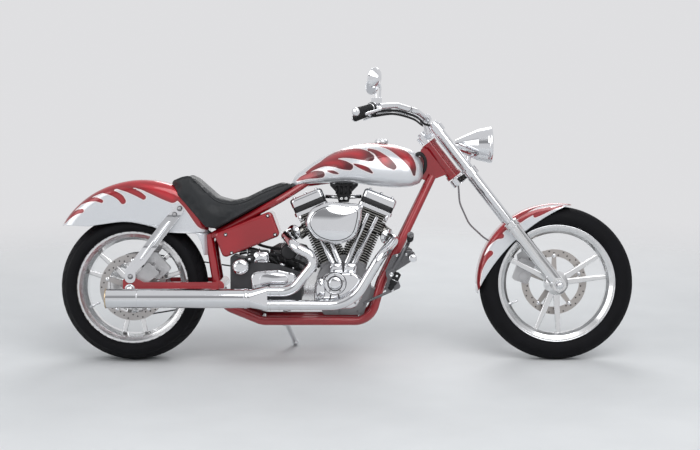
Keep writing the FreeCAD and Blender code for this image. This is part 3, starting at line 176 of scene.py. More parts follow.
def roundedLine(points, bends, step=0.004):
    # straight runs with a tangent arc of the given radius at each inner corner, evenly sampled
    p = np.array(points, float)
    out = [p[:1]]
    for i, radius in enumerate(bends, 1):
        a = p[i - 1] - p[i]
        b = p[i + 1] - p[i]
        a, b = a / np.linalg.norm(a), b / np.linalg.norm(b)
        half = math.acos(max(-1.0, min(1.0, float(a @ b)))) / 2
        reach = radius / math.tan(half)
        mid = (a + b) / np.linalg.norm(a + b)
        centre = p[i] + mid * radius / math.sin(half)
        u, v = p[i] + a * reach - centre, p[i] + b * reach - centre
        turn = math.pi - 2 * half
        t = np.linspace(0, 1, max(4, int(turn * radius / step)))[:, None]
        out.append(centre + (np.sin((1 - t) * turn) * u + np.sin(t * turn) * v) / math.sin(turn))
    out.append(p[-1:])
    line = np.concatenate(out)
    far = np.concatenate([[0], np.cumsum(np.linalg.norm(np.diff(line, axis=0), axis=1))])
    keep = np.concatenate([[True], np.diff(far) > 1e-6])
    line, far = line[keep], far[keep]
    even = np.linspace(0, far[-1], max(8, int(far[-1] / step)))
    return np.stack([np.interp(even, far, line[:, k]) for k in range(line.shape[1])], 1)


def addPiece(name, shape, body, finish, hides=(), closed=True, extra=None, smooth=True):
    # puts vertices and quads of the upright bike into a mesh, parked, with its material
    verts, faces = shape
    mesh = bpy.data.meshes.new(name)
    mesh.from_pydata(place(verts).tolist(), [], faces.tolist())
    at = mesh.attributes.new("bike", "FLOAT_VECTOR", "POINT")
    at.data.foreach_set("vector", np.asarray(verts, float).ravel())
    for key, values in (extra or {}).items():
        at = mesh.attributes.new(key, "FLOAT", "POINT")
        at.data.foreach_set("value", np.asarray(values, float).ravel())
    bm = bmesh.new()
    bm.from_mesh(mesh)
    bmesh.ops.remove_doubles(bm, verts=bm.verts, dist=2e-6)
    bmesh.ops.dissolve_degenerate(bm, edges=bm.edges, dist=1e-7)
    if closed:
        bmesh.ops.recalc_face_normals(bm, faces=bm.faces)
    bm.to_mesh(mesh)
    bm.free()
    if smooth:
        mesh.shade_smooth()
    obj = bpy.data.objects.new(name, mesh)
    bpy.context.collection.objects.link(obj)
    mesh.materials.append(finish)
    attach(obj, body)
    for node in hides:
        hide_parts(node)
    return obj


def addTrim(body, **pieces):
    # one joined mesh for each name, from its parts and the name of its finish
    for name, (parts, finish) in pieces.items():
        addPiece(name, join(parts), body, finishes[finish])


def modify(obj, kind, **settings):
    # adds a modifier of that kind, with its settings
    m = obj.modifiers.new(kind.title().replace("_", ""), kind)
    for key, value in settings.items():
        setattr(m, key, value)
    return m


def node(tree, kind, inputs=None, **props):
    # one shader node; an input that is a socket is linked, anything else is set
    n = tree.nodes.new(kind)
    for key, value in props.items():
        setattr(n, key, value)
    for key, value in (inputs or {}).items():
        if isinstance(value, bpy.types.NodeSocket):
            tree.links.new(value, n.inputs[key])
        else:
            n.inputs[key].default_value = value
    return n


def startFinish(name):
    # a material with only its output, and the object's own coordinates
    mat = bpy.data.materials.new(name)
    mat.use_nodes = True
    tree = mat.node_tree
    tree.nodes.clear()
    out = node(tree, "ShaderNodeOutputMaterial")
    where = node(tree, "ShaderNodeTexCoord").outputs["Object"]
    return mat, tree, out, where


def noise(tree, where, scale, detail=3.0, rough=0.5, **more):
    # cloudy noise, about 0.5 in the middle
    return node(tree, "ShaderNodeTexNoise", {"Vector": where, "Scale": scale, "Detail": detail,
                                             "Roughness": rough, **more}).outputs["Fac"]


def ramp(tree, value, low, high, outLow=0.0, outHigh=1.0):
    # the value's place between low and high, held to that range, as outLow to outHigh
    return node(tree, "ShaderNodeMapRange", {"Value": value, "From Min": low, "From Max": high,
                                             "To Min": outLow, "To Max": outHigh}).outputs["Result"]


def mixColour(tree, fac, a, b):
    # a where fac is 0, b where it is 1
    n = node(tree, "ShaderNodeMix", data_type="RGBA")
    for socket, value in ((n.inputs["Factor"], fac), (n.inputs[6], a), (n.inputs[7], b)):
        if isinstance(value, bpy.types.NodeSocket):
            tree.links.new(value, socket)
        else:
            socket.default_value = value
    return n.outputs[2]


def bumped(tree, height, distance, strength=1.0, normal=None):
    # a bump over the given normal, or over the surface's own with its edges eased
    normal = normal or node(tree, "ShaderNodeBevel", {"Radius": 0.0014}, samples=4).outputs[0]
    return node(tree, "ShaderNodeBump", {"Height": height, "Distance": distance, "Strength": strength,
                                         "Normal": normal}).outputs["Normal"]


def surfaceOf(tree, out, **values):
    # the Principled shader; names with an underscore stand for sockets with a space
    bsdf = node(tree, "ShaderNodeBsdfPrincipled",
                {key.replace("_", " "): value for key, value in values.items()})
    tree.links.new(bsdf.outputs[0], out.inputs["Surface"])
    return bsdf


def chromeFinish(name, colour=(0.80, 0.81, 0.83, 1), smear=(0.03, 0.10), grain=0.0, scale=9.0):
    # a mirror with faint clouds in its colour and its roughness
    mat, tree, out, where = startFinish(name)
    cloud = noise(tree, where, scale, 5.0, 0.6)
    fine = noise(tree, where, 240.0, 2.0)
    rough = ramp(tree, cloud, 0.3, 0.75, smear[0], smear[1])
    tint = mixColour(tree, ramp(tree, cloud, 0.25, 0.8), colour, tuple(c * 0.93 for c in colour[:3]) + (1,))
    shape = bumped(tree, fine, 0.00004 + grain, 0.5)
    surfaceOf(tree, out, Base_Color=tint, Metallic=1.0, Roughness=rough, Normal=shape)
    return mat


def castFinish(name, colour, grainSize=900.0, rough=(0.35, 0.55)):
    # sand-cast metal: fine pits, cloudy roughness and a colour darker in patches of the clouds
    mat, tree, out, where = startFinish(name)
    grain = noise(tree, where, grainSize, 3.0, 0.7)
    cloud = noise(tree, where, 14.0, 4.0)
    dark = tuple(c * 0.72 for c in colour[:3]) + (1,)
    tint = mixColour(tree, ramp(tree, cloud, 0.3, 0.75), dark, colour)
    surfaceOf(tree, out, Base_Color=tint, Metallic=0.9, Roughness=ramp(tree, cloud, 0.3, 0.7, *rough),
              Normal=bumped(tree, grain, 0.00025, 0.6))
    return mat


def enamelFinish(name, colour, deep):
    # gloss enamel under clear coat, with a faint flow and fine flake
    mat, tree, out, where = startFinish(name)
    flow = noise(tree, where, 5.0, 3.0)
    flake = noise(tree, where, 1800.0, 1.0)
    tint = mixColour(tree, ramp(tree, flow, 0.3, 0.7), colour, deep)
    spark = (min(1, colour[0] * 1.5), colour[1] * 3, colour[2] * 2, 1)
    tint = mixColour(tree, ramp(tree, flake, 0.62, 0.70, 0.0, 0.2), tint, spark)
    surfaceOf(tree, out, Base_Color=tint, Metallic=0.12, Roughness=0.28, Coat_Weight=1.0,
              Coat_Roughness=0.03, Normal=bumped(tree, noise(tree, where, 60.0, 2.0), 0.00004, 0.4))
    return mat


def rubberFinish(name, colour=(0.010, 0.010, 0.011, 1), rough=(0.5, 0.75), scale=700.0, gloss=0.28):
    # matt black, up to twice as light in its clouds, with a fine grain
    mat, tree, out, where = startFinish(name)
    fine = noise(tree, where, scale, 4.0, 0.6)
    cloud = noise(tree, where, 22.0, 3.0)
    tint = mixColour(tree, ramp(tree, cloud, 0.35, 0.75), colour, tuple(c * 2.0 for c in colour[:3]) + (1,))
    surfaceOf(tree, out, Base_Color=tint, Roughness=ramp(tree, cloud, 0.3, 0.7, *rough),
              Specular_IOR_Level=gloss, Normal=bumped(tree, fine, 0.0002, 0.5))
    return mat


def leatherFinish(name):
    # pebbled hide: cells of two sizes, creases, and a soft worn shine
    mat, tree, out, where = startFinish(name)
    cells = node(tree, "ShaderNodeTexVoronoi", {"Vector": where, "Scale": 520.0}, feature="DISTANCE_TO_EDGE")
    small = node(tree, "ShaderNodeTexVoronoi", {"Vector": where, "Scale": 1400.0}).outputs["Distance"]
    crease = noise(tree, where, 35.0, 5.0, 0.6)
    wear = noise(tree, where, 9.0, 3.0)
    tint = mixColour(tree, ramp(tree, wear, 0.35, 0.75), (0.006, 0.0075, 0.009, 1), (0.014, 0.016, 0.019, 1))
    grain = bumped(tree, ramp(tree, cells.outputs["Distance"], 0.0, 0.35), 0.00035, 0.7)
    grain = bumped(tree, small, 0.00012, 0.4, grain)
    grain = bumped(tree, crease, 0.0010, 0.25, grain)
    surfaceOf(tree, out, Base_Color=tint, Roughness=ramp(tree, wear, 0.3, 0.75, 0.36, 0.52),
              Specular_IOR_Level=0.4, Normal=grain)
    return mat


def uprightFrom(tree, where, axle):
    # the object's coordinates stood upright again, measured from a point of the bike's plane
    centre = place([(axle[0], 0.0, axle[1])])[0]
    local = node(tree, "ShaderNodeMapping", {"Vector": where, "Location": tuple(-centre)}).outputs[0]
    return node(tree, "ShaderNodeMapping", {"Vector": local,
                                            "Rotation": (stance["lean"], 0.0, 0.0)}).outputs[0]


def sums(tree, kind, a, b=0.0):
    # one sum of that kind on two numbers
    return node(tree, "ShaderNodeMath", {0: a, 1: b}, operation=kind).outputs[0]


def finnedFinish(name, e):
    # black cylinders whose fins are bright along their edges: in either cylinder's own plane, a point
    # is bright where it lies past the rounded rectangle drawn a little inside the barrel's fins
    mat, tree, out, where = startFinish(name)
    upright = uprightFrom(tree, where, e["crank"])
    x, y, z = node(tree, "ShaderNodeSeparateXYZ", {"Vector": upright}).outputs
    c, t = math.cos(e["half"]), math.sin(e["half"])
    ahead = sums(tree, "ABSOLUTE", x)
    across = sums(tree, "SUBTRACT", sums(tree, "MULTIPLY", ahead, c), sums(tree, "MULTIPLY", z, t))
    past = []
    for value, half in ((across, e["finHalf"][0]), (y, e["finHalf"][1])):
        far = sums(tree, "SUBTRACT", sums(tree, "ABSOLUTE", value), half - e["finBend"])
        past.append(sums(tree, "MAXIMUM", far, 0.0))
    square = [sums(tree, "MULTIPLY", v, v) for v in past]
    reach = sums(tree, "SQRT", sums(tree, "ADD", *square))
    edge = ramp(tree, reach, e["finBend"] - 0.0022, e["finBend"] - 0.0012)
    cloud = noise(tree, where, 16.0, 4.0)
    dark = mixColour(tree, ramp(tree, cloud, 0.3, 0.7), (0.014, 0.014, 0.014, 1), (0.034, 0.032, 0.029, 1))
    tint = mixColour(tree, edge, dark, (0.27, 0.265, 0.25, 1))
    surfaceOf(tree, out, Base_Color=tint, Metallic=ramp(tree, edge, 0, 1, 0.35, 1.0), Specular_IOR_Level=0.4,
              Roughness=ramp(tree, edge, 0, 1, 0.6, 0.26),
              Normal=bumped(tree, noise(tree, where, 800.0), 0.0002, 0.5))
    return mat


def brushedFinish(name, axle, colour=(0.50, 0.50, 0.51, 1)):
    # a disc turned on a lathe: fine rings about the axle's line
    mat, tree, out, where = startFinish(name)
    local = uprightFrom(tree, where, axle)
    flat = node(tree, "ShaderNodeVectorMath", {0: local, 1: (1, 0, 1)}, operation="MULTIPLY").outputs[0]
    radius = node(tree, "ShaderNodeVectorMath", {0: flat}, operation="LENGTH").outputs["Value"]
    rings = node(tree, "ShaderNodeTexNoise", {"W": radius, "Scale": 2600.0, "Detail": 3.0},
                 noise_dimensions="1D").outputs["Fac"]
    cloud = noise(tree, where, 20.0, 3.0)
    tint = mixColour(tree, ramp(tree, rings, 0.3, 0.7), tuple(c * 0.8 for c in colour[:3]) + (1,), colour)
    surfaceOf(tree, out, Base_Color=tint, Metallic=1.0, Roughness=ramp(tree, cloud, 0.3, 0.7, 0.28, 0.4),
              Normal=bumped(tree, rings, 0.00008, 0.5))
    return mat


def braidFinish(name):
    # braided steel over a hose: two sets of fine slanted bands
    mat, tree, out, where = startFinish(name)
    bands = []
    for turn in (0.7, -0.7):
        slant = node(tree, "ShaderNodeMapping", {"Vector": where,
                "Rotation": (turn, turn * 0.6, 0.0)}).outputs[0]
        bands.append(node(tree, "ShaderNodeTexWave", {"Vector": slant, "Scale": 260.0,
                "Distortion": 1.5}).outputs["Fac"])
    weave = sums(tree, "MULTIPLY", *bands)
    tint = mixColour(tree, weave, (0.16, 0.16, 0.17, 1), (0.70, 0.70, 0.72, 1))
    surfaceOf(tree, out, Base_Color=tint, Metallic=0.9, Roughness=ramp(tree, weave, 0, 1, 0.5, 0.3),
              Normal=bumped(tree, weave, 0.0004, 0.7))
    return mat


def glassFinish(name):
    # clear glass with upright flutes
    mat, tree, out, where = startFinish(name)
    flutes = node(tree, "ShaderNodeTexWave", {"Vector": where, "Scale": 60.0, "Distortion": 0.0},
                  bands_direction="Y").outputs["Fac"]
    rough = ramp(tree, noise(tree, where, 30.0), 0.3, 0.7, 0.02, 0.06)
    surfaceOf(tree, out, Base_Color=(0.94, 0.96, 0.97, 1), Roughness=rough,
              Transmission_Weight=0.85, IOR=1.45,
              Normal=bumped(tree, flutes, 0.0008, 0.6))
    return mat


def flamePaint(name):
    # silver flake under clear coat; the "redDepth" attribute is the distance into the red, in
    # metres, and "headShade" is 1 at the round head of a flame, where the red is maroon
    mat, tree, out, where = startFinish(name)
    depth = node(tree, "ShaderNodeAttribute", attribute_name="redDepth").outputs["Fac"]
    flow = noise(tree, where, 7.0, 3.0)
    flakes = node(tree, "ShaderNodeTexVoronoi", {"Vector": where, "Scale": 2600.0}).outputs["Color"]
    flake = node(tree, "ShaderNodeSeparateColor", {"Color": flakes}).outputs[0]
    silver = mixColour(tree, ramp(tree, flake, 0.0, 1.0), (0.56, 0.58, 0.61, 1), (0.80, 0.82, 0.85, 1))
    silver = mixColour(tree, ramp(tree, flow, 0.3, 0.7, 0.0, 0.25), silver, (0.66, 0.67, 0.70, 1))
    red = mixColour(tree, ramp(tree, depth, 0.0, 0.022), (0.20, 0.005, 0.010, 1), (0.50, 0.010, 0.020, 1))
    red = mixColour(tree, ramp(tree, flake, 0.6, 1.0, 0.0, 0.2), red, (0.70, 0.05, 0.06, 1))
    heads = node(tree, "ShaderNodeAttribute", attribute_name="headShade").outputs["Fac"]
    red = mixColour(tree, ramp(tree, heads, 0.05, 0.75, 0.0, 0.86), red, (0.050, 0.006, 0.010, 1))
    edge = ramp(tree, depth, -0.0004, 0.0004)
    lineIn = ramp(tree, depth, -0.0030, -0.0024)
    lineOut = ramp(tree, depth, -0.0002, 0.0004, 1.0, 0.0)
    line = node(tree, "ShaderNodeMath", {0: lineIn, 1: lineOut}, operation="MULTIPLY").outputs[0]
    tint = mixColour(tree, edge, silver, red)
    tint = mixColour(tree, line, tint, (0.86, 0.74, 0.74, 1))
    step = ramp(tree, depth, -0.0006, 0.0006)
    surfaceOf(tree, out, Base_Color=tint, Metallic=ramp(tree, edge, 0, 1, 0.45, 0.2), Roughness=0.28,
              Coat_Weight=1.0, Coat_Roughness=0.03, Normal=bumped(tree, step, 0.00006, 0.5))
    return mat


engine = {
    "crank": (0.926, 0.330), "half": math.radians(22.5), "finHalf": (0.062, 0.066), "finBend": 0.026,
    "band": (0.3764, 0.4016), "bandHalf": (0.0722, 0.0702), "bandBend": 0.016, "top": 0.440,
}
finishes = {
    "chrome": chromeFinish("chrome"),
    "fins": finnedFinish("finnedCylinders", engine),
    "gearbox": castFinish("gearboxCast", (0.085, 0.085, 0.09, 1), 800.0, (0.32, 0.5)),
    "steel": castFinish("zincSteel", (0.42, 0.42, 0.43, 1), 1200.0, (0.28, 0.4)),
    "polished": chromeFinish("polishedAlloy", (0.80, 0.805, 0.81, 1), (0.10, 0.20), 0.0, 12.0),
    "cast": castFinish("castAlloy", (0.30, 0.30, 0.31, 1)),
    "satin": castFinish("satinAlloy", (0.60, 0.60, 0.61, 1), 500.0, (0.25, 0.4)),
    "bracket": castFinish("brushedBracket", (0.20, 0.20, 0.21, 1), 900.0, (0.24, 0.36)),
    "dark": castFinish("blackCast", (0.05, 0.05, 0.052, 1), 700.0, (0.4, 0.6)),
    "red": enamelFinish("redEnamel", (0.36, 0.004, 0.012, 1), (0.25, 0.002, 0.007, 1)),
    "rubber": rubberFinish("blackRubber"),
    "tyre": rubberFinish("tyreRubber", (0.005, 0.005, 0.006, 1), (0.6, 0.85), 420.0, 0.12),
    "leather": leatherFinish("seatLeather"),
    "rotorFront": brushedFinish("frontDiscSteel", frontAxle, (0.50, 0.47, 0.45, 1)),
    "rotorRear": brushedFinish("rearDiscSteel", rearAxle, (0.52, 0.50, 0.49, 1)),
    "glass": glassFinish("lampGlass"),
    "braid": braidFinish("braidedSteel"),
    "mirror": chromeFinish("mirrorGlass", (0.56, 0.58, 0.61, 1), (0.008, 0.02), 0.0, 6.0),
    "tinted": chromeFinish("heatTintedSteel", (0.62, 0.50, 0.34, 1), (0.12, 0.25), 0.0, 30.0),
    "flames": flamePaint("silverFlames"),
}
finishOf = {
    "red": ["frame_backbone", "frame_cradle_left", "frame_cradle_right", "frame_crossbars",
            "swingarm", "oil_tank"],
    "cast": ["crankcase"],
    "fins": ["cylinders"],
    "gearbox": ["transmission"],
    "satin": ["front_caliper", "rear_caliper"],
    "dark": ["carburetor"],
    "polished": ["front_rim", "rear_rim", "rear_pulley", "fork_legs", "primary_cover"],
    "bracket": ["foot_controls"],
    "rubber": ["foot_pegs", "drive_belt", "grips"],
    "braid": ["brake_hose"],
    "tyre": ["front_tyre", "rear_tyre"],
    "leather": ["seat"],
    "rotorFront": ["front_rotor"],
    "rotorRear": ["rear_rotor"],
    "glass": ["headlamp_lens"],
}
finishByNode = {n: key for key, group in finishOf.items() for n in group}
for name, obj in nodes.items():
    mat = finishes[finishByNode.get(name, "chrome")]
    obj.data.materials.clear()
    obj.data.materials.append(mat)
print("finishes on the frame's nodes")


tyres = {
    "front": {"node": "front_tyre", "body": "front_wheel", "axle": frontAxle, "radius": 0.340, "half": 0.055,
              "crown": 0.058, "shoulder": 0.047, "widest": 0.292, "flange": 0.257, "bead": 0.035,
              "grooves": 56, "depth": 0.0035},
    "rear": {"node": "rear_tyre", "body": "rear_wheel", "axle": rearAxle, "radius": 0.325, "half": 0.100,
             "crown": 0.130, "shoulder": 0.082, "widest": 0.276, "flange": 0.246, "bead": 0.070,
             "grooves": 44, "depth": 0.0045},
}


def arcThrough(a, b, c, count):
    # the circle through three (y, r) points, sampled from the first to the last
    a, b, c = (np.array(p, float) for p in (a, b, c))
    m = 2 * np.array([b - a, c - a])
    k = np.array([b @ b - a @ a, c @ c - a @ a])
    o = np.linalg.solve(m, k)
    ang = [math.atan2(*(p - o)[::-1]) for p in (a, b, c)]
    for k in (1, 2):
        ang[k] -= 2 * math.pi * round((ang[k] - ang[k - 1]) / (2 * math.pi))
    t = np.linspace(ang[0], ang[2], count)
    return o + np.linalg.norm(a - o) * np.stack([np.cos(t), np.sin(t)], 1)


def tyreShape(t):
    # the section's arcs, turned about the axle; slanted grooves cut the tread where a saw-tooth
    # of the angle, shifted with the distance from the middle, is near zero
    shoulderR = t["radius"] - t["crown"] + math.sqrt(t["crown"] ** 2 - t["shoulder"] ** 2)
    wall = arcThrough((t["bead"], t["flange"]), (t["half"], t["widest"]), (t["shoulder"], shoulderR), 26)
    top = arcThrough((t["shoulder"], shoulderR), (0, t["radius"]), (-t["shoulder"], shoulderR), 61)
    other = wall[::-1] * (-1, 1)
    section = np.concatenate([wall[:-1], top, other[1:]])
    count = 760
    turn = np.linspace(0, 2 * math.pi, count, endpoint=False)
    y, r = section[:, 0][None], section[:, 1][None]
    tread = np.clip((t["shoulder"] * 1.04 - np.abs(y)) / 0.006, 0, 1)
    across = np.abs(y) / t["shoulder"]
    phase = (turn[:, None] / (2 * math.pi) * t["grooves"] + across * 1.15 + (y > 0) * 0.5) % 1.0
    slant = np.clip(1 - np.abs(phase - 0.5) / 0.10, 0, 1)
    slant = slant * np.clip((across - 0.16) / 0.08, 0, 1) * np.clip((0.97 - across) / 0.05, 0, 1)
    middle = np.clip(1 - np.abs(across - 0.10) / 0.045, 0, 1)
    cut = np.maximum(slant, middle * (t["half"] > 0.08)) * tread * t["depth"]
    lines = ((0.0006, 0.018, 0.0016), (0.0007, 0.026, 0.0012))
    bars = sum(high * (np.abs(r - (t["flange"] + far)) < half) for high, far, half in lines)
    rr = r - cut
    side = np.sign(y) * bars
    ang = turn[:, None]
    x = t["axle"][0] + rr * np.cos(ang)
    z = t["axle"][1] + rr * np.sin(ang)
    pts = np.stack([x, np.broadcast_to(y + side, x.shape), z], -1)
    return pts


def closeTyre(t):
    # adds the beads and the inner skin, so that the tyre is a closed ring
    pts = tyreShape(t)
    count = pts.shape[0]
    ang = np.linspace(0, 2 * math.pi, count, endpoint=False)[:, None]
    inner = np.array([(-t["bead"], t["flange"] - 0.005), (-t["bead"] + 0.008, t["flange"] - 0.012),
                      (t["bead"] - 0.008, t["flange"] - 0.012), (t["bead"], t["flange"] - 0.005)])
    x = t["axle"][0] + inner[:, 1][None] * np.cos(ang)
    z = t["axle"][1] + inner[:, 1][None] * np.sin(ang)
    ring = np.stack([x, np.broadcast_to(inner[:, 0][None], x.shape), z], -1)
    return patch(np.concatenate([pts, ring], 1), True, True)


for key, t in tyres.items():
    addPiece(key + "Tyre", closeTyre(t), t["body"], finishes["tyre"], [t["node"]])
print("tyres done")


def strokeDepth(points, strokes, floor=-0.05):
    # how far inside the strokes each (x, z) lies: a stroke is a line of discs (x, z, radius)
    best = np.full(len(points), floor)
    for stroke in strokes:
        s = smoothLine(np.array(stroke, float) / 1000.0, 28)
        for a, b in zip(s, s[1:]):
            d = b[:2] - a[:2]
            t = np.clip(((points - a[:2]) @ d) / max(d @ d, 1e-12), 0, 1)
            near = a[:2] + t[:, None] * d
            radius = a[2] + t * (b[2] - a[2])
            best = np.maximum(best, radius - np.linalg.norm(points - near, axis=1))
    return best


def headShade(points, strokes, reach):
    # how near each (x, z) lies to the head of a stroke: 1 at it, 0 from the reach on
    best = np.zeros(len(points))
    for stroke in strokes:
        head = np.array(stroke[0][:2]) / 1000.0
        best = np.maximum(best, 1 - np.linalg.norm(points - head, axis=1) / reach)
    return best


rearFender = {
    "crown": [(-0.945, 0.849), (-0.683, 1.277), (0.286, 1.542), (1.028, 1.148), (1.028, 0.443)],
    "crownBends": [0.400, 0.400, 0.160],
    "lower": [(0.978, 0.443), (0.941, 0.615), (0.861, 0.751), (0.461, 0.739), (0.295, 0.825),
              (-0.061, 0.905), (-0.585, 0.831), (-0.945, 0.849)],
    "lowerBends": [0.020, 0.026, 0.040, 0.060, 0.300, 0.060],
    "half": 0.118, "edge": 0.046, "wall": 0.004,
    "strokes": [    # x, z and radius in mm
        [(330, 640, 60), (260, 720, 50), (180, 776, 40), (80, 800, 30), (-20, 800, 18), (-90, 784, 8)],
        [(34, 796, 26), (-22, 789, 22), (-77, 775, 18), (-133, 756, 16), (-188, 730, 13),
         (-244, 683, 10), (-292, 628, 6)],
        [(180, 722, 24), (146, 742, 30), (92, 764, 27), (36, 780, 20), (-24, 782, 12)],
        [(54, 723, 11), (30, 738, 13), (-12, 756, 12), (-62, 768, 8)],
        [(-36, 706, 13), (-50, 724, 14), (-84, 742, 12), (-132, 750, 8), (-172, 742, 4)],
        [(-130, 706, 8), (-156, 714, 9), (-192, 708, 7), (-230, 690, 3)],
        [(-216, 664, 9), (-240, 657, 9), (-270, 636, 6), (-296, 608, 2)],
    ],
}


def sectionAt(depth, half, edge, count):
    # half of a fender's section, from its middle out: flat top, quarter round, straight side, cut at depth
    flat, arc = half - edge, edge * math.pi / 2
    full = np.where(depth > edge, flat + arc + depth - edge,
                    flat + edge * np.arccos(np.clip(1 - depth / edge, -1, 1)))
    s = np.linspace(0, 1, count)[None] * full[:, None]
    a = np.clip((s - flat) / edge, 0, math.pi / 2)
    out = np.minimum(s, flat) + edge * np.sin(a)
    down = edge * (1 - np.cos(a)) + np.maximum(s - flat - arc, 0)
    return out, down


def fenderShape(line, normals, depth, half, edge, count):
    # the section carried along the crown's line, its sides hanging in along the normals
    out, down = sectionAt(depth, half, edge, count)
    out = np.concatenate([-out[:, :0:-1], out], 1)
    down = np.concatenate([down[:, :0:-1], down], 1)
    x = line[:, 0, None] - normals[:, 0, None] * down
    z = line[:, 1, None] - normals[:, 1, None] * down
    return np.stack([x, out, z], -1)


def normalsOf(line, centre):
    # unit vectors square to the line in the bike's plane, pointing away from the centre
    run = np.gradient(line, axis=0)
    n = np.stack([-run[:, 1], run[:, 0]], 1)
    n /= np.linalg.norm(n, axis=1, keepdims=True)
    flip = np.sum(n * (line - np.array(centre)), axis=1) < 0
    n[flip] *= -1
    return n


def depthTo(line, normals, lower):
    # how far in along each normal the lower edge lies
    a, b = lower[:-1], lower[1:]
    d = b - a
    rel = a[None] - line[:, None]
    n = -normals[:, None]
    cross = n[..., 0] * d[None, :, 1] - n[..., 1] * d[None, :, 0]
    cross = np.where(np.abs(cross) < 1e-12, 1e-12, cross)
    t = (rel[..., 0] * d[None, :, 1] - rel[..., 1] * d[None, :, 0]) / cross
    u = (rel[..., 0] * n[..., 1] - rel[..., 1] * n[..., 0]) / cross
    ok = (u >= -0.001) & (u <= 1.001) & (t > 0)
    found = np.where(ok, t, 9.0).min(1)
    return np.where(found > 8.0, 0.003, found)


def faceOut(obj, centre):
    # turns an open sheet's faces so that they point away from the centre
    mesh = obj.data
    mid = place([centre])[0]
    total = sum((p.center - Vector(mid)).dot(p.normal) * p.area for p in mesh.polygons)
    if total < 0:
        mesh.flip_normals()


def addFender(name, points, f, body, node, middle):
    # the painted sheet, facing away from the wheel, and its wall grown inward
    shape = patch(points)
    flame = strokeDepth(shape[0][:, [0, 2]], f["strokes"])
    obj = addPiece(name, shape, body, finishes["flames"], [node],
                   closed=False, extra={"redDepth": flame})
    faceOut(obj, (middle[0], 0.0, middle[1]))
    modify(obj, "SOLIDIFY", thickness=f["wall"], offset=-1.0)


def makeRearFender(f):
    # the crown's line and the sides' lower edge are in tyre radii from the rear axle
    scale, base, middle = 0.325, np.array([0.0, rearAxle[1]]), (0.05, 0.45)
    crown = roundedLine(np.array(f["crown"]) * scale + base, f["crownBends"], 0.0045)
    lower = roundedLine(np.array(f["lower"]) * scale + base, f["lowerBends"], 0.003)
    n = normalsOf(crown, middle)
    depth = np.clip(depthTo(crown, n, lower), 0.003, 0.60)
    pts = fenderShape(crown, n, depth, f["half"], f["edge"], 46)
    addFender("rearFender", pts, f, "chassis", "rear_fender", middle)


makeRearFender(rearFender)
print("rear fender done")


frontFender = {
    "radius": 0.355, "low": 80.0, "high": 187.0, "half": 0.066, "edge": 0.030, "wall": 0.003,
    "strokes": [
        [(1680, 636, 16), (1772, 686, 11), (1862, 699, 9), (1944, 692, 5)],
        [(1628, 592, 20), (1552, 503, 11), (1520, 390, 9), (1527, 306, 5)],
        [(1704, 620, 10), (1732, 640, 11), (1778, 660, 8), (1836, 676, 4)],
        [(1770, 640, 8), (1800, 654, 9), (1846, 672, 5), (1890, 684, 3)],
        [(1652, 616, 20), (1630, 600, 22), (1600, 566, 16)],
        [(1622, 552, 12), (1596, 546, 12), (1562, 512, 8), (1540, 468, 4)],
        [(1574, 476, 12), (1552, 450, 10), (1532, 400, 6), (1526, 350, 3)],
    ],
}


def makeFrontFender(f):
    # rings of a rounded channel about the front axle, their sides cut by the arc through
    # the two tips and a low point on the middle angle
    angles = np.radians(np.linspace(f["low"], f["high"], 190))
    line = np.stack([frontAxle[0] + f["radius"] * np.cos(angles),
                     frontAxle[1] + f["radius"] * np.sin(angles)], 1)
    n = np.stack([np.cos(angles), np.sin(angles)], 1)
    mid = math.radians((f["low"] + f["high"]) / 2)
    reach = f["radius"] + 0.004
    tip = [np.array(frontAxle) + reach * np.array([math.cos(a), math.sin(a)])
           for a in np.radians([f["high"], f["low"]])]
    deep = np.array(frontAxle) + 0.268 * np.array([math.cos(mid), math.sin(mid)])
    lower = arcThrough(tip[0], deep, tip[1], 200)
    depth = np.clip(depthTo(line, n, lower), 0.002, 0.12)
    pts = fenderShape(line, n, depth, f["half"], f["edge"], 34)
    addFender("frontFender", pts, f, "steering", "front_fender", frontAxle)


makeFrontFender(frontFender)
print("front fender done")


tank = {
    "sections": [    # x, bottom, top, half width low, half width high, in mm
        (700.0, 776.0, 792.0, 26.0, 18.0), (704.0, 773.0, 800.0, 32.0, 24.0),
        (760.0, 779.0, 852.0, 66.0, 44.0),
        (860.0, 784.0, 914.0, 106.0, 70.0), (980.0, 781.0, 953.0, 132.0, 88.0),
        (1090.0, 768.0, 962.0, 134.0, 90.0),
        (1180.0, 764.0, 946.0, 114.0, 74.0), (1240.0, 773.0, 922.0, 92.0, 60.0),
        (1266.0, 788.0, 900.0, 68.0, 44.0),
        (1277.0, 806.0, 882.0, 46.0, 30.0)],
    "headReach": 0.056,
    "strokes": [
        [(830, 823, 15), (806, 822, 17), (774, 816, 13), (744, 806, 9), (722, 795, 3)],
        [(954, 856, 15), (926, 864, 20), (884, 873, 18), (842, 870, 13), (800, 852, 9), (764, 830, 4)],
        [(904, 826, 3), (882, 833, 7), (858, 838, 3)],
        [(1046, 896, 16), (1016, 907, 23), (968, 915, 23), (918, 912, 18), (868, 895, 13), (824, 870, 6)],
        [(1052, 830, 4), (1028, 846, 10), (996, 859, 8), (972, 868, 3)],
        [(1146, 856, 13), (1120, 875, 20), (1093, 898, 17), (1068, 920, 10), (1036, 932, 5)],
        [(1236, 822, 6), (1230, 856, 15), (1207, 893, 21), (1172, 921, 19), (1130, 944, 14),
         (1078, 956, 9), (1016, 958, 4)],
    ],
}


def cubicThrough(x, keys, values):
    # a natural-looking curve through the keys: cubic pieces with the slopes of their neighbours
    keys, values = np.array(keys, float), np.array(values, float)
    slope = np.gradient(values, keys)
    i = np.clip(np.searchsorted(keys, x) - 1, 0, len(keys) - 2)
    h = keys[i + 1] - keys[i]
    t = np.clip((x - keys[i]) / h, 0, 1)
    return hermite(t, values[i], values[i + 1], h * slope[i], h * slope[i + 1])


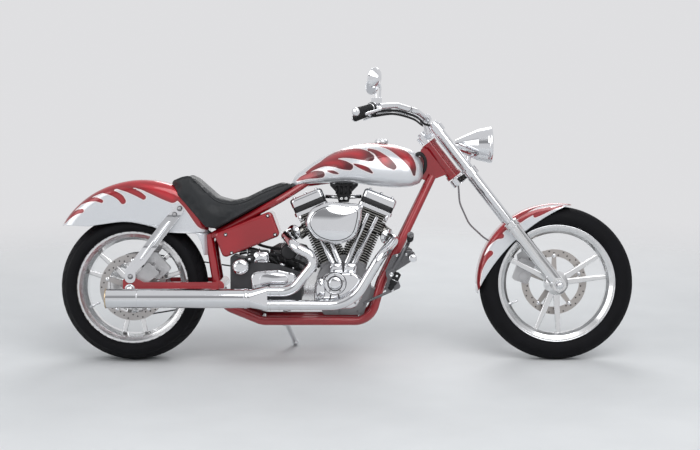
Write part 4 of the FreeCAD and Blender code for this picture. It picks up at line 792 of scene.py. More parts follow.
def makeTank(t):
    # sections across the bike: a rounded outline |y/w|^p + |z/h|^p = 1 that is fuller below the
    # waist, flat at its foot
    rows = np.array(t["sections"])
    keys = rows[:, 0]
    u = np.linspace(0, 1, 150)
    x = keys[0] + (keys[-1] - keys[0]) * (0.5 - 0.5 * np.cos(math.pi * u)) ** 0.9
    low, top, halfLow, halfTop = (cubicThrough(x, keys, rows[:, k]) for k in range(1, 5))
    waist = low + (top - low) * 0.38
    a = np.linspace(-math.pi / 2, math.pi / 2, 57)[None]
    up = np.sin(a)
    across = np.cos(a)
    height = np.where(up >= 0, (top - waist)[:, None], (waist - low)[:, None])
    power = np.where(up >= 0, 0.92, 0.62)
    z = waist[:, None] + height * np.sign(up) * np.abs(up) ** np.where(up >= 0, 0.98, 0.62)
    lift = np.clip((z - waist[:, None]) / (top - waist)[:, None], 0, 1)
    wide = halfLow[:, None] * across ** power
    narrow = (halfLow * 0.35 + halfTop * 0.65)[:, None] / halfLow[:, None]
    wide = wide * (1 - (1 - narrow) * lift * 0.25)
    right = np.stack([np.broadcast_to(x[:, None], z.shape), -wide, z], -1)[:, ::-1]
    left = np.stack([np.broadcast_to(x[:, None], z.shape), wide, z], -1)
    side = np.concatenate([left, right[:, 1:-1]], 1) / 1000.0
    end0 = np.repeat(side[:1].mean(1, keepdims=True), side.shape[1], 1)
    end1 = np.repeat(side[-1:].mean(1, keepdims=True), side.shape[1], 1)
    body = np.concatenate([end0, side, end1])
    shape = patch(body, False, True)
    v = shape[0]
    side = v[:, [0, 2]]
    paint = {"redDepth": strokeDepth(side, t["strokes"]),
             "headShade": headShade(side, t["strokes"], t["headReach"])}
    return addPiece("fuelTank", shape, "chassis", finishes["flames"], ["fuel_tank"],
                    extra=paint)


makeTank(tank)
print("tank done")


seat = {
    "voxel": 0.006, "rounding": 14, "pressure": 4.0, "cap": 0.009, "frames": 20,
    "top": [(186, 792), (251, 806), (290, 776), (369, 706), (440, 688), (510, 706), (589, 745), (688, 786)],
    "plan": [(160, 60), (200, 128), (330, 146), (470, 140), (600, 92), (712, 62)],
    "welt": 0.0032,
}


def meshPoints(mesh, key="co"):
    # a vertex value of the mesh, one row a vertex
    out = np.empty(len(mesh.vertices) * 3)
    mesh.vertices.foreach_get(key, out)
    return out.reshape(-1, 3)


def applied(obj):
    # the object's mesh with its modifiers, as plain data, and the modifiers gone
    bpy.context.view_layer.update()
    graph = bpy.context.evaluated_depsgraph_get()
    mesh = bpy.data.meshes.new_from_object(obj.evaluated_get(graph))
    obj.modifiers.clear()
    obj.data = mesh
    return mesh


def makeSeat(s):
    # the solid's own form, remeshed and rounded, then blown up by cloth; where a point may go
    # is capped, and least on the underside, which rests on the fender and the rails
    mesh = nodes["seat"].data.copy()
    mesh.name = "seatPad"
    bm = bmesh.new()
    bm.from_mesh(mesh)
    bmesh.ops.remove_doubles(bm, verts=bm.verts, dist=1e-5)
    bm.to_mesh(mesh)
    bm.free()
    mesh.materials.clear()
    obj = bpy.data.objects.new("seatPad", mesh)
    bpy.context.collection.objects.link(obj)
    remesh = modify(obj, "REMESH", mode="VOXEL", voxel_size=s["voxel"])
    remesh.use_smooth_shade = True
    modify(obj, "SMOOTH", factor=0.5, iterations=s["rounding"])
    applied(obj)
    start = meshPoints(obj.data)
    normal = meshPoints(obj.data, "normal")
    up = np.clip(normal[:, 2] * 1.4 + 0.55, 0.0, 1.0)
    cloth = modify(obj, "CLOTH")
    cloth.settings.use_pressure = True
    cloth.settings.uniform_pressure_force = s["pressure"]
    cloth.settings.quality = 6
    cloth.settings.mass = 0.25
    cloth.settings.tension_stiffness = cloth.settings.compression_stiffness = 18.0
    cloth.settings.shear_stiffness = 8.0
    cloth.settings.bending_stiffness = 2.0
    cloth.settings.effector_weights.gravity = 0.0
    cloth.point_cache.frame_end = s["frames"]
    scene = bpy.context.scene
    for frameAt in range(1, s["frames"] + 1):
        scene.frame_set(frameAt)
    graph = bpy.context.evaluated_depsgraph_get()
    blown = bpy.data.meshes.new_from_object(obj.evaluated_get(graph))
    moved = meshPoints(blown)
    bpy.data.meshes.remove(blown)
    obj.modifiers.clear()
    scene.frame_set(1)
    step = moved - start
    size = np.linalg.norm(step, axis=1, keepdims=True)
    step *= np.minimum(1.0, s["cap"] * up[:, None] / np.maximum(size, 1e-9))
    obj.data.vertices.foreach_set("co", (start + step).ravel())
    obj.data.update()
    modify(obj, "SMOOTH", factor=0.5, iterations=2)
    modify(obj, "SUBSURF", levels=1, render_levels=1)
    applied(obj)
    obj.data.shade_smooth()
    obj.data.materials.clear()
    obj.data.materials.append(finishes["leather"])
    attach(obj, "chassis")
    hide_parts("seat")
    return obj


seatPad = makeSeat(seat)
print("seat done")


def onSurface(obj, points):
    # the nearest points of the object's surface
    mesh = obj.data
    mesh.calc_loop_triangles()
    tris = np.empty(len(mesh.loop_triangles) * 3, int)
    mesh.loop_triangles.foreach_get("vertices", tris)
    tree = BVHTree.FromPolygons(meshPoints(mesh).tolist(), tris.reshape(-1, 3).tolist())
    return np.array([tuple(tree.find_nearest(Vector(p))[0]) for p in np.asarray(points, float).tolist()])


def makeWelt(s, pad):
    # a sewn welt along each upper edge of the pad
    top = smoothLine(np.array(s["top"], float) / 1000, 90)
    half = np.interp(top[:, 0] * 1000, *zip(*s["plan"])) / 1000
    parts = []
    for side in (-1, 1):
        line = np.stack([top[:, 0], side * (half - 0.012), top[:, 1] + 0.004], 1)
        near = unplace(onSurface(pad, place(line)))
        near = smoothLine(near[::4], 120)
        parts.append(sweep(near, s["welt"], 8))
    return addPiece("seatWelt", join(parts), "chassis", finishes["leather"])


makeWelt(seat, seatPad)


boltHead = [(-0.4, 1.0), (0.75, 1.0), (0.95, 0.82), (0.95, 0.48), (0.45, 0.42), (0.45, 0.0)]
nutHead = [(-0.4, 1.0), (0.55, 1.0), (0.7, 0.85), (0.7, 0.5), (1.0, 0.45), (1.0, 0.0)]


def bolt(at, axis, radius, kind=boltHead):
    # a socket-headed screw or a nut: a short lathe closed under its head
    prof = [(-0.4 * radius, 0.0)] + [(a * radius, r * radius) for a, r in kind]
    return lathe(prof, at, axis, 6 if kind is nutHead else 10)


def roundTheRim(outline, factor, count):
    # points spread evenly round a closed outline, drawn in towards its middle
    p = np.array(outline, float)
    p = p.mean(0) + (p - p.mean(0)) * factor
    q = np.concatenate([p, p[:1]])
    far = np.concatenate([[0], np.cumsum(np.linalg.norm(np.diff(q, axis=0), axis=1))])
    even = np.linspace(0, far[-1], count, endpoint=False) + far[-1] / count / 2
    return np.stack([np.interp(even, far, q[:, k]) for k in range(2)], 1)


def spread(count, radius, turn=0.0):
    # evenly spaced (x, z) on a circle, the first at the turn
    angles = (turn + 2 * math.pi * k / count for k in range(count))
    return [(radius * math.cos(a), radius * math.sin(a)) for a in angles]


def touch(name, x, z, side):
    # where a line across the bike, coming in from that side, first meets a node
    far = 0.6    # m, outside the widest node
    obj = nodes[name]
    back = obj.matrix_world.inverted()
    start, end = (back @ Vector(place([(x, y, z)])[0]) for y in (side * far, 0.0))
    hit, at = obj.ray_cast(start, (end - start).normalized())[:2]
    if not hit:
        raise ValueError(name + " isn't met at " + str((x, z)))
    return unplace([obj.matrix_world @ at])[0]


bars = {
    "corner": mm(1054.07, 318.0, 1109.28), "end": mm(980.07, 440.0, 1085.28),
    "riser": mm(1290.07, 0.0, 1065.28),
    "gripRadius": 0.0165, "ribs": 15,
    "innerCollar": [(-8, 0), (-8, 16), (-5, 18.5), (2, 18.5), (4, 16.5), (4, 0)],
    "outerCollar": [(-3, 0), (-3, 16.8), (0, 18), (6, 17.5), (11, 12), (12, 0)],
}


def barRun(side, share):
    # the point at that share of the way from the bar's corner to its end
    a, b = np.array(bars["corner"]), np.array(bars["end"])
    return (a + (b - a) * share) * (1, side, 1)


def makeGrips(b):
    # a waisted sleeve whose radius rises and falls with the ribs, between two chromed collars
    rubber, collars = [], []
    for side in (-1, 1):
        start, end = barRun(side, 0.16), barRun(side, 1.0)
        axis = end - start
        length = np.linalg.norm(axis)
        t = np.linspace(0, 1, b["ribs"] * 8 + 1)
        rib = np.abs(np.sin(t * b["ribs"] * math.pi)) ** 0.5
        r = b["gripRadius"] - 0.0018 + 0.0024 * rib - 0.0008 * np.sin(t * math.pi)
        prof = [(0.0, 0.0)] + list(zip(t * length, r)) + [(length, 0.0)]
        rubber.append(lathe(prof, start, axis, 30))
        collars.append(turned(b["innerCollar"], start, axis, 30))
        collars.append(turned(b["outerCollar"], end, axis, 30))
    addPiece("handGrips", join(rubber), "steering", finishes["rubber"], ["grips"])
    addTrim("steering", gripCollars=(collars, "chrome"))


makeGrips(bars)

lamp = {"face": mm(1581.10, 0.0, 952.73), "radius": 0.078}


def makeLamp(v):
    # a bezel ring, the reflector's bowl behind the glass, and the bulb's cap
    r = v["radius"]
    rim = [(-0.012, r - 0.004), (-0.012, r + 0.0015), (-0.004, r + 0.003), (0.002, r + 0.0015),
           (0.004, r - 0.003), (0.001, r - 0.007), (-0.006, r - 0.008), (-0.012, r - 0.004)]
    t = np.linspace(0, 1, 22)
    bowl = np.stack([-0.010 - 0.070 * (1 - t**2), 0.006 + (r - 0.0165) * t], 1)
    back = [(-0.011, r - 0.0095), (-0.084, 0.012), (-0.084, 0.0)]
    bezel = lathe(rim, v["face"], toFront, 72)
    inner = lathe(np.concatenate([[(-0.082, 0.0)], bowl, back]), v["face"], toFront, 72)
    cap = turned([(-60, 0), (-60, 10), (-36, 11), (-30, 7), (-29, 0)], v["face"], toFront, 24)
    addPiece("lampBezel", bezel, "steering", finishes["chrome"])
    addPiece("lampReflector", inner, "steering", finishes["chrome"])
    addPiece("lampBulb", cap, "steering", finishes["glass"])


makeLamp(lamp)


barTrim = {
    "mirror": [(11, 0), (11, 37.5), (13.4, 37.5), (13.8, 36.5), (14.2, 30), (14.6, 0)],
    "collar": [(0, 0), (0, 20.5), (1, 22.2), (8.5, 22.2), (9.5, 20.5), (9.5, 0)],
    "route": [(-222, 305, 44), (-136, 225, 51), (-50, 166, 27), (-8, 112, -4)],    # from the riser, in mm
    "ends": [(22, 88, -30), (34, 80, -56)],
    "under": mm(-2, 0, -16.5), "second": mm(1.5, 0, -6.5), "ties": (34, 62, 88),
}


def makeBarTrim(b, v):
    # mirror glass in thin rims, the cables tied under the bar, and a collar beside each grip
    glass, rims, cables, ties = [], [], [], []
    riser = np.array(b["riser"])
    for side in (-1, 1):
        head = barRun(side, 0.03) + mm(14.0, side * 34.0, 122.0)
        axis = np.array((-0.74, side * -0.66, 0.12))
        glass.append(turned(v["mirror"], head, axis, 48))
        rims.append(ring(head + axis / np.linalg.norm(axis) * 0.0130, axis, 0.0392, 0.0015, 56, 8))
        route, ends = ([riser + mm(dx, side * dy, dz) for dx, dy, dz in v[k]] for k in ("route", "ends"))
        line = [q + v["under"] for q in [barRun(side, 0.02), barRun(side, -0.25)] + route]
        line = smoothLine(line + ends, 120)
        cables.append(sweep(line, 0.0034, 10))
        cables.append(sweep(line + v["second"] * np.linspace(1, 0.4, 120)[:, None], 0.0030, 10))
        for k in v["ties"]:
            run = line[k + 1] - line[k - 1]
            ties.append(ring(line[k] + (0.001, 0, 0.0125), run, 0.0178, 0.0012, 36, 6))
        a, c = barRun(side, 0.06), barRun(side, 0.135)
        ties.append(turned(v["collar"], a, c - a, 32))
    addTrim("steering", mirrorGlass=(glass, "mirror"), mirrorRims=(rims, "chrome"),
            barCables=(cables, "rubber"), cableTies=(ties, "dark"))


makeBarTrim(bars, barTrim)
print("bars and lamp done")


wheelTrim = {
    "front": {"axle": frontAxle, "body": "front_wheel", "disc": (0.058, 0.063),
              "flange": 0.257, "bead": 0.041, "well": 0.222},
    "rear": {"axle": rearAxle, "body": "rear_wheel", "disc": (-0.075, -0.070),
             "flange": 0.246, "bead": 0.076, "well": 0.208},
}
discTrim = {"holes": 40, "first": 0.121, "rowStep": 0.0085, "arms": 5, "turn": 0.3142,
            "rivets": 0.1175, "screws": 0.030,
            "edges": ((0.0, -0.0005, 0.0026, 8), (0.016, 0.026, 0.0016, 6)),
            "hole": [(-1, 0), (-1, 3.4), (0.2, 3.4), (0.2, 0)], "valve": math.radians(205.0)}


axleTrim = {
    "cap": [(-6, 0), (-6, 17.5), (0, 18.5), (3, 17.5), (4, 15), (10, 14), (15.5, 9.5), (17.5, 0)],
    "nut": [(-4, 0), (-4, 21.5), (4, 21.5), (6, 19), (6, 0)],
    "washer": [(-3, 0), (-3, 12.5), (1, 12), (2, 8.5), (8, 8), (10.5, 5), (11, 0)],
    "strut": mm(46, 452, 72, 487, 98, 523, 124, 559, 150, 596, 170, 621),
    "strutBolts": ((0.212, 0.674), (0.190, 0.648), (0.002, 0.380)),
    "calipers": (("front_caliper", 1.757, 0.372), ("front_caliper", 1.745, 0.405),
                 ("rear_caliper", 0.095, 0.432), ("rear_caliper", 0.118, 0.400)),
}


def makeWheelTrim(key, w, d):
    # rolled edges on the rim; on the disc, black dots painted as the shade of drilled holes, and rivets;
    # screws round its hub, a valve
    x, z = w["axle"]
    edges, dark, bright = [], [], []
    for side in (-1, 1):
        for inset, drop, thick, around in d["edges"]:
            at = (x, side * (w["bead"] - inset), z)
            edges.append(ring(at, toLeft, w["flange"] - drop, thick, 120, around))
    y0, y1 = w["disc"]
    # black dots on both faces of the disc: painted shade standing in for drilled holes, which are not cut
    for k in range(d["holes"]):
        px, pz = spread(d["holes"], d["first"] + d["rowStep"] * (k % 3))[k]
        for y, s in ((y0, -1), (y1, 1)):
            dark.append(turned(d["hole"], (x + px, y, z + pz), (0, s, 0), 10))
    rivet = [(y0 - 0.0015, 0.0), (y0 - 0.0015, 0.0075), (y0, 0.009), (y1, 0.009), (y1 + 0.0015, 0.0075),
             (y1 + 0.0015, 0.0)]
    for px, pz in spread(d["arms"], d["rivets"], d["turn"]):
        bright.append(lathe(rivet, (x + px, 0, z + pz), toLeft, 16))
    face, out = (y1, 1) if y1 > 0 else (y0, -1)
    for px, pz in spread(d["arms"], d["screws"], d["turn"]):
        bright.append(bolt((x + px, face, z + pz), (0, out, 0), 0.0062))
    c, s = math.cos(d["valve"]), math.sin(d["valve"])
    reach = [w["well"] + 0.003 - k * 0.0075 for k in range(6)]
    stem = np.array([(x + r * c, -0.002 * k, z + r * s) for k, r in enumerate(reach)])
    bright.append(sweep(stem, metres([6.5, 6.0, 4.2, 4.2, 5.2, 5.0]), 12))
    addTrim(w["body"], **{key + "RimEdges": (edges, "chrome"), key + "DiscHoleShade": (dark, "rubber"),
                          key + "DiscScrews": (bright, "chrome")})


def makeAxleTrim(v):
    # domed nuts on both axles, pinch bolts, rear adjusters, beads and bolts on the struts, caliper screws
    frontBright, rearBright, screws = [], [], []
    for side in (-1, 1):
        out = (0, side, 0)
        for name, axle, into in (("front_axle", frontAxle, frontBright), ("rear_axle", rearAxle, rearBright)):
            end = touch(name, axle[0], axle[1], side)
            into.append(turned(v["cap"], end, out, 36))
            into.append(turned(v["nut"], end - (0, side * 0.0035, 0), out, 6))
        leg = onFork(0.032)
        foot = touch("fork_legs", leg[0], leg[2], side)
        for along in (-0.004, 0.030):
            at = onFork(0.030 + along, -0.020)
            at = (at[0], foot[1] - side * 0.012, at[2])
            frontBright.append(bolt(at, (-0.5, side * 0.5, -0.5), 0.0058))
        # struts: a raised bead down each, with its bolts
        line = [touch("fender_struts", x, z, side) for x, z in zip(v["strut"][::2], v["strut"][1::2])]
        line = smoothLine(line, 60)
        t = np.linspace(0, 1, 60)
        rearBright.append(sweep(line, 0.0025 + 0.0065 * np.sin(math.pi * t) ** 0.35, 14))
        for x, z in v["strutBolts"]:
            at = touch("fender_struts", x, z, side)
            screws.append(turned(v["washer"], at, out, 24))
        end = touch("swingarm", -0.020, rearAxle[1], side)
        for dz in (-0.014, 0.014):
            at = (-0.040, end[1] - side * 0.012, rearAxle[1] + dz)
            screws.append(bolt(at, (-1, 0, 0), 0.0055, nutHead))
    for name, x, z in v["calipers"]:
        side = 1 if name.startswith("front") else -1
        spot = touch(name, x, z, side)
        (frontBright if side > 0 else screws).append(bolt(spot, (0, side, 0), 0.0070))
    addTrim("steering", frontAxleTrim=(frontBright, "chrome"))
    addTrim("chassis", strutTrim=(rearBright, "chrome"), strutBolts=(screws, "steel"))


makeAxleTrim(axleTrim)
for key, w in wheelTrim.items():
    makeWheelTrim(key, w, discTrim)
print("wheel trim done")


def onCylinder(points, side, e=engine):
    # (across, y, along) on the front (1) or rear (-1) cylinder as points of the bike
    p = np.asarray(points, float)
    c, t = math.cos(e["half"]), math.sin(e["half"]) * side
    return np.stack([e["crank"][0] + t * p[..., 2] + c * p[..., 0], p[..., 1],
                     e["crank"][1] + c * p[..., 2] - t * p[..., 0]], -1)


def roundedRectangle(halfX, halfY, bend, steps=6):
    # the outline of a rounded rectangle, corner by corner
    t = np.linspace(0, math.pi / 2, steps)
    out = []
    for k, (sx, sy) in enumerate(((1, 1), (-1, 1), (-1, -1), (1, -1))):
        a = t + k * math.pi / 2
        x, y = sx * (halfX - bend) + bend * np.cos(a), sy * (halfY - bend) + bend * np.sin(a)
        out.append(np.stack([x, y], 1))
    return np.concatenate(out)


def bandAround(halfX, halfY, bend, low, high, proud, side):
    # a closed strip round a rocker box: out, up and back in on rounded edges
    rows = []
    for grow, level in ((-0.004, low), (proud * 0.6, low), (proud, low + 0.0012), (proud, high - 0.0012),
                        (proud * 0.6, high), (-0.004, high)):
        flat = roundedRectangle(halfX + grow, halfY + grow, bend + grow * 0.5)
        rows.append(np.concatenate([flat, np.full((len(flat), 1), level)], 1))
    return patch(onCylinder(np.array(rows), side), True, True)


def plate(outline, low, high, ease=0.0015):
    # a flat plate between two y's: the outline's rows, drawn in a little at both faces, closed by fans
    o = np.array(outline, float)
    mid = o.mean(0)
    inner = o + (mid - o) * (ease / np.linalg.norm(mid - o, axis=1, keepdims=True))
    rows = [(mid + o * 0, low), (inner, low), (o, low + ease), (o, high - ease), (inner, high),
            (mid + o * 0, high)]
    pts = np.array([np.stack([r[:, 0], np.full(len(r), y), r[:, 1]], 1) for r, y in rows])
    return patch(pts, False, True)


def softLoop(outline, times=4):
    # cuts every corner of a closed outline at a quarter and three quarters of its sides, again and again
    p = np.array(outline, float)
    for _ in range(times):
        q = np.roll(p, -1, 0)
        p = np.stack([p * 0.75 + q * 0.25, p * 0.25 + q * 0.75], 1).reshape(-1, 2)
    return p


def dome(outline, factor, y, rise, out):
    # a shallow bulge on a flat cover: its height falls with the square of the way to the outline
    loop = softLoop(outline)
    mid = loop.mean(0)
    share = np.array([0.0, 0.2, 0.4, 0.6, 0.76, 0.88, 0.96, 1.0, 1.0, 0.6, 0.0])
    height = rise * (1 - share ** 2)
    height[-4:] = [0.0, -0.003, -0.003, -0.003]
    flat = mid + (loop - mid) * share[:, None, None] * factor
    level = np.broadcast_to((y + out * height)[:, None], flat.shape[:2])
    return patch(np.stack([flat[..., 0], level, flat[..., 1]], -1), False, True)


def bead(outline, factor, y, radius):
    # a raised line round a cover, at the given share of its outline
    loop = softLoop(outline)
    loop = loop.mean(0) + (loop - loop.mean(0)) * factor
    return sweep(np.stack([loop[:, 0], np.full(len(loop), y), loop[:, 1]], 1), radius, 8, True)


def makeRockerTrim(e):
    # black middle bands with gasket lines, and domed nuts on the covers and flanges
    bands, seams, nuts = [], [], []
    acorn = [(-8, 0), (-8, 7.5), (0, 8), (10, 7.8), (15.5, 5), (17, 0)]
    for side in (-1, 1):
        bands.append(bandAround(*e["bandHalf"], e["bandBend"], *e["band"], 0.0012, side))
        for level, half in ((0.3596, (0.0765, 0.0745)), (0.4025, (0.0745, 0.0725))):
            seams.append(bandAround(*half, 0.018, level, level + 0.0022, 0.0012, side))
        up = onCylinder([(0, 0, 1.0)], side)[0] - onCylinder([(0, 0, 0.0)], side)[0]
        for x in (-0.052, 0.0, 0.052):
            for y in (-0.050, 0.050):
                nuts.append(bolt(onCylinder([(x, y, e["top"])], side)[0], up, 0.0062))
        for x in (-0.060, 0.060):
            for y in (-0.0785, 0.0785):
                foot = onCylinder([(x, y * 0.93, 0.3475)], side)[0]
                nuts.append(turned(acorn, foot, up, 12))
    addTrim("chassis", rockerBands=(bands, "dark"), rockerSeams=(seams, "rubber"),
            rockerNuts=(nuts, "chrome"))


def makePlugs():
    # spark plugs in the heads on the left, the coil under the tank, which is the piece called
    # plugLeads, and the plates, links and ribs of the engine's top mount
    metal, black = [], []
    plug = [(-12, 0), (-12, 9.5), (8, 9.5), (10, 10.5), (20, 10.5), (21, 6), (26, 0)]
    for side in (-1, 1):
        foot = onCylinder([(side * 0.012, 0.058, 0.326)], side)[0]
        out = np.array((side * 0.16, 0.96, 0.22))
        metal.append(turned(plug, foot, out, 6))
    coil = metres([(-30, 0), (-30, 19), (-26, 22), (26, 22), (30, 19), (30, 0)])
    black.append(lathe(coil, (0.930, 0.044, 0.752), toFront, 28))
    mount, links = [], []
    outline = metres([(862, 812), (996, 812), (990, 772), (962, 744), (950, 700), (905, 700),
                      (894, 744), (868, 772)])
    for y in (-0.034, 0.014):
        mount.append(plate(outline, y, y + 0.007))
    for side in (-1, 1):
        head = onCylinder([(-side * 0.078, 0.0, 0.395)], side)[0]
        link = [(0.928 + side * 0.008, -0.010, 0.716), (0.928 + side * 0.03, -0.010, 0.722), head]
        links.append(sweep(link, 0.0085, 16))
        for y in (-0.037, 0.021):
            for x, z, radius in ((0.010, 0.716, 0.0075), (0.044, 0.786, 0.0065)):
                links.append(bolt((0.928 + side * x, y, z), (0, np.sign(y), 0), radius))
    # ribs on the right of the plates
    for k in range(4):
        mount.append(sweep([(0.896 + 0.021 * k, -0.038, z) for z in (0.736, 0.770)], 0.0050, 10))
    addTrim("chassis", topMount=(mount, "dark"), topMountLinks=(links, "polished"),
            sparkPlugs=(metal, "steel"), plugLeads=(black, "rubber"))


engineScrews = {    # outlines in mm; the screws stand on each, drawn in by its share
    "camCover": {"draw": 0.87, "y": -0.1475, "out": -1, "count": 11, "r": 0.0050, "outline": metres([
        (798, 266), (866, 234), (978, 238), (1010, 290), (1014, 364), (974, 396), (860, 396), (802, 352)])},
    "gearCover": {"draw": 0.84, "y": -0.1316, "out": -1, "count": 9, "r": 0.0048, "outline": metres([
        (530, 300), (715, 314), (722, 392), (640, 408), (519, 397)])},
    "primaryCover": {"draw": 0.925, "y": 0.1985, "out": 1, "count": 16, "r": 0.0050, "bead": 0.85, "outline":
                     metres([
        (434, 234), (532, 212), (956, 230), (1034, 270), (1034, 392), (956, 430), (632, 442), (452, 454)])},
}


def makeEngineScrews(table):
    # socket screws evenly round each cover, with the round caps' own screws and rims
    screws, rims = [], []
    for c in table.values():
        for x, z in roundTheRim(c["outline"], c["draw"], c["count"]):
            screws.append(bolt((x, c["y"], z), (0, c["out"], 0), c["r"]))
        if "bead" in c:
            rims.append(bead(c["outline"], c["bead"], c["y"] - c["out"] * 0.0005, 0.0030))
    rims.append(dome(table["gearCover"]["outline"], 0.66, -0.1318, 0.0050, -1))
    for at, r, y, out, count in (((0.890, 0.349), 0.037, -0.164, -1, 5),
                                 ((0.562, 0.330), 0.054, 0.206, 1, 6)):
        rims.append(ring((at[0], y, at[1]), toLeft, r + 0.0075, 0.0016, 72, 8))
        for dx, dz in spread(count, r, 0.3):
            screws.append(bolt((at[0] + dx, y, at[1] + dz), (0, out, 0), 0.0050))
    rims.append(turned([(-4, 0), (-4, 30), (2, 30), (6, 27), (8.5, 18), (9.5, 0)],
                       (0.890, -0.1640, 0.349), toRight, 56))
    # dark rings at the round cover's shoulder and foot: painted shade of grooves
    grooves = [ring((0.890, -0.1652, 0.349), toLeft, 0.0318, 0.0016, 64, 8),
               ring((0.890, -0.1500, 0.349), toLeft, 0.0478, 0.0026, 72, 8)]
    # tall lifter cover beside the round one, with its gasket
    t = np.linspace(0, 2 * math.pi, 40, endpoint=False)
    full = np.stack([np.sign(w) * np.abs(w) ** 0.8 for w in (np.cos(t), np.sin(t))], 1)
    for grow, out, into in ((0.0, 0.007, rims), (0.0022, 0.003, grooves)):
        oval = (0.827, 0.326) + full * (0.019 + grow, 0.044 + grow)
        into.append(plate(oval, table["camCover"]["y"] - out, -0.143, 0.002))
    for z in (0.294, 0.358):
        screws.append(bolt((0.827, -0.1545, z), toRight, 0.0045))
    # oil passages cast below the round cover
    for x in (0.872, 0.905):
        grooves.append(sweep([(x, -0.1478, 0.300), (x + (x - 0.889) * 0.5, -0.1478, 0.262)], 0.0030, 8))
    addTrim("chassis", coverGrooves=(grooves, "dark"))
    # inspection cover and timing plug on the left
    rims.append(ring((0.926, 0.200, 0.330), toLeft, 0.048, 0.0022, 72, 8))
    rims.append(turned([(-4, 0), (-4, 30), (4, 30), (8, 26), (9, 0)], (0.926, 0.199, 0.330), toLeft, 48))
    addTrim("chassis", coverScrews=(screws, "steel"), coverRims=(rims, "chrome"))


def makeTappetBlocks():
    # bright covers at the pushrods' feet with their screws, and ribs on the case below
    bright, ribs = [], []
    crankX, crankZ = engine["crank"]
    for x, lean in ((0.895, -0.10), (0.957, 0.10)):
        c, t = math.cos(lean), math.sin(lean)
        outline = np.array([(-0.027, -0.022), (0.027, -0.022), (0.027, 0.010), (0.020, 0.022),
                            (-0.020, 0.022), (-0.027, 0.010)])
        tilted = np.stack([x + c * outline[:, 0] + t * outline[:, 1],
                           0.412 - t * outline[:, 0] + c * outline[:, 1]], 1)
        bright.append(plate(tilted, -0.1240, -0.112, 0.003))
        for dx in (-0.018, 0.018):
            for dz in (-0.014, 0.012):
                bright.append(bolt((x + dx, -0.1238, 0.412 + dz), toRight, 0.0036))
    for k in range(5):
        a = math.radians(205 + 14 * k)
        reach = np.linspace(0.080, 0.1175, 6)
        ribs.append(sweep([(crankX + r * math.cos(a), -0.0785, crankZ + r * math.sin(a)) for r in reach],
                          0.0035, 8))
    for k in range(4):
        x = 0.868 + 0.040 * k
        ribs.append(sweep([(x, -0.0690, z) for z in np.linspace(0.216, 0.250, 5)], 0.0035, 8))
    addTrim("chassis", tappetCovers=(bright, "chrome"), caseRibs=(ribs, "cast"))


def makeStarter():
    # the starter's domed end cap with its screws and bands, and the gearbox's screws and filler plug
    bright, dark = [], []
    at = (0.478, -0.128, 0.419)
    bright.append(turned([(-12, 0), (-12, 36.5), (-2, 36.5), (4, 34), (10, 27), (12.5, 16), (13, 0)],
                         at, toRight, 48))
    bright.append(ring((at[0], -0.080, at[2]), toLeft, 0.0345, 0.0016, 48, 8))
    for dx, dz in spread(3, 0.026, 0.5):
        bright.append(bolt((at[0] + dx, -0.1365, at[2] + dz), toRight, 0.0042))
    for k in range(7):
        dark.append(ring((at[0], -0.070 + 0.020 * k, at[2]), toLeft, 0.0343, 0.0012, 40, 6))
    for x, z, tilt in ((0.600, 0.4375, 0.0), (0.650, 0.425, -0.3), (0.705, 0.408, -0.34)):
        for y in (-0.070, 0.045):
            bright.append(bolt((x, y, z), (-math.sin(tilt) * 0.3, 0, 1), 0.0055))
    fill = turned([(-6, 0), (-6, 16), (10, 16), (14, 12), (15, 0)], (0.655, -0.060, 0.420), (0.25, 0, 1), 8)
    bright.append(fill)
    addTrim("chassis", starterCap=(bright, "chrome"), starterBands=(dark, "dark"))


oilLines = {
    "radius": 0.0062,
    "fitting": [(-6, 0), (-6, 8.5), (8, 9.5), (18, 9.5), (22, 7), (24, 0)],
    "lines": [    # points in mm
        [(500, -60, 560), (505, -75, 505), (560, -84, 476), (640, -80, 470), (728, -60, 440),
         (800, -40, 400)],
        [(540, -50, 560), (545, -55, 520), (600, -50, 500), (680, -45, 490), (760, -20, 455),
         (815, -10, 415)]],
}


def makeOilLines(v):
    # rubber hoses from the oil tank to the cases, with hexagon fittings at both ends
    hoses, fittings = [], []
    for points in v["lines"]:
        line = smoothLine(metres(points), 60)
        hoses.append(sweep(line, v["radius"], 12))
        for end, after in ((line[0], line[2]), (line[-1], line[-3])):
            fittings.append(turned(v["fitting"], end, after - end, 6))
    addTrim("chassis", oilHoses=(hoses, "rubber"), oilFittings=(fittings, "steel"))


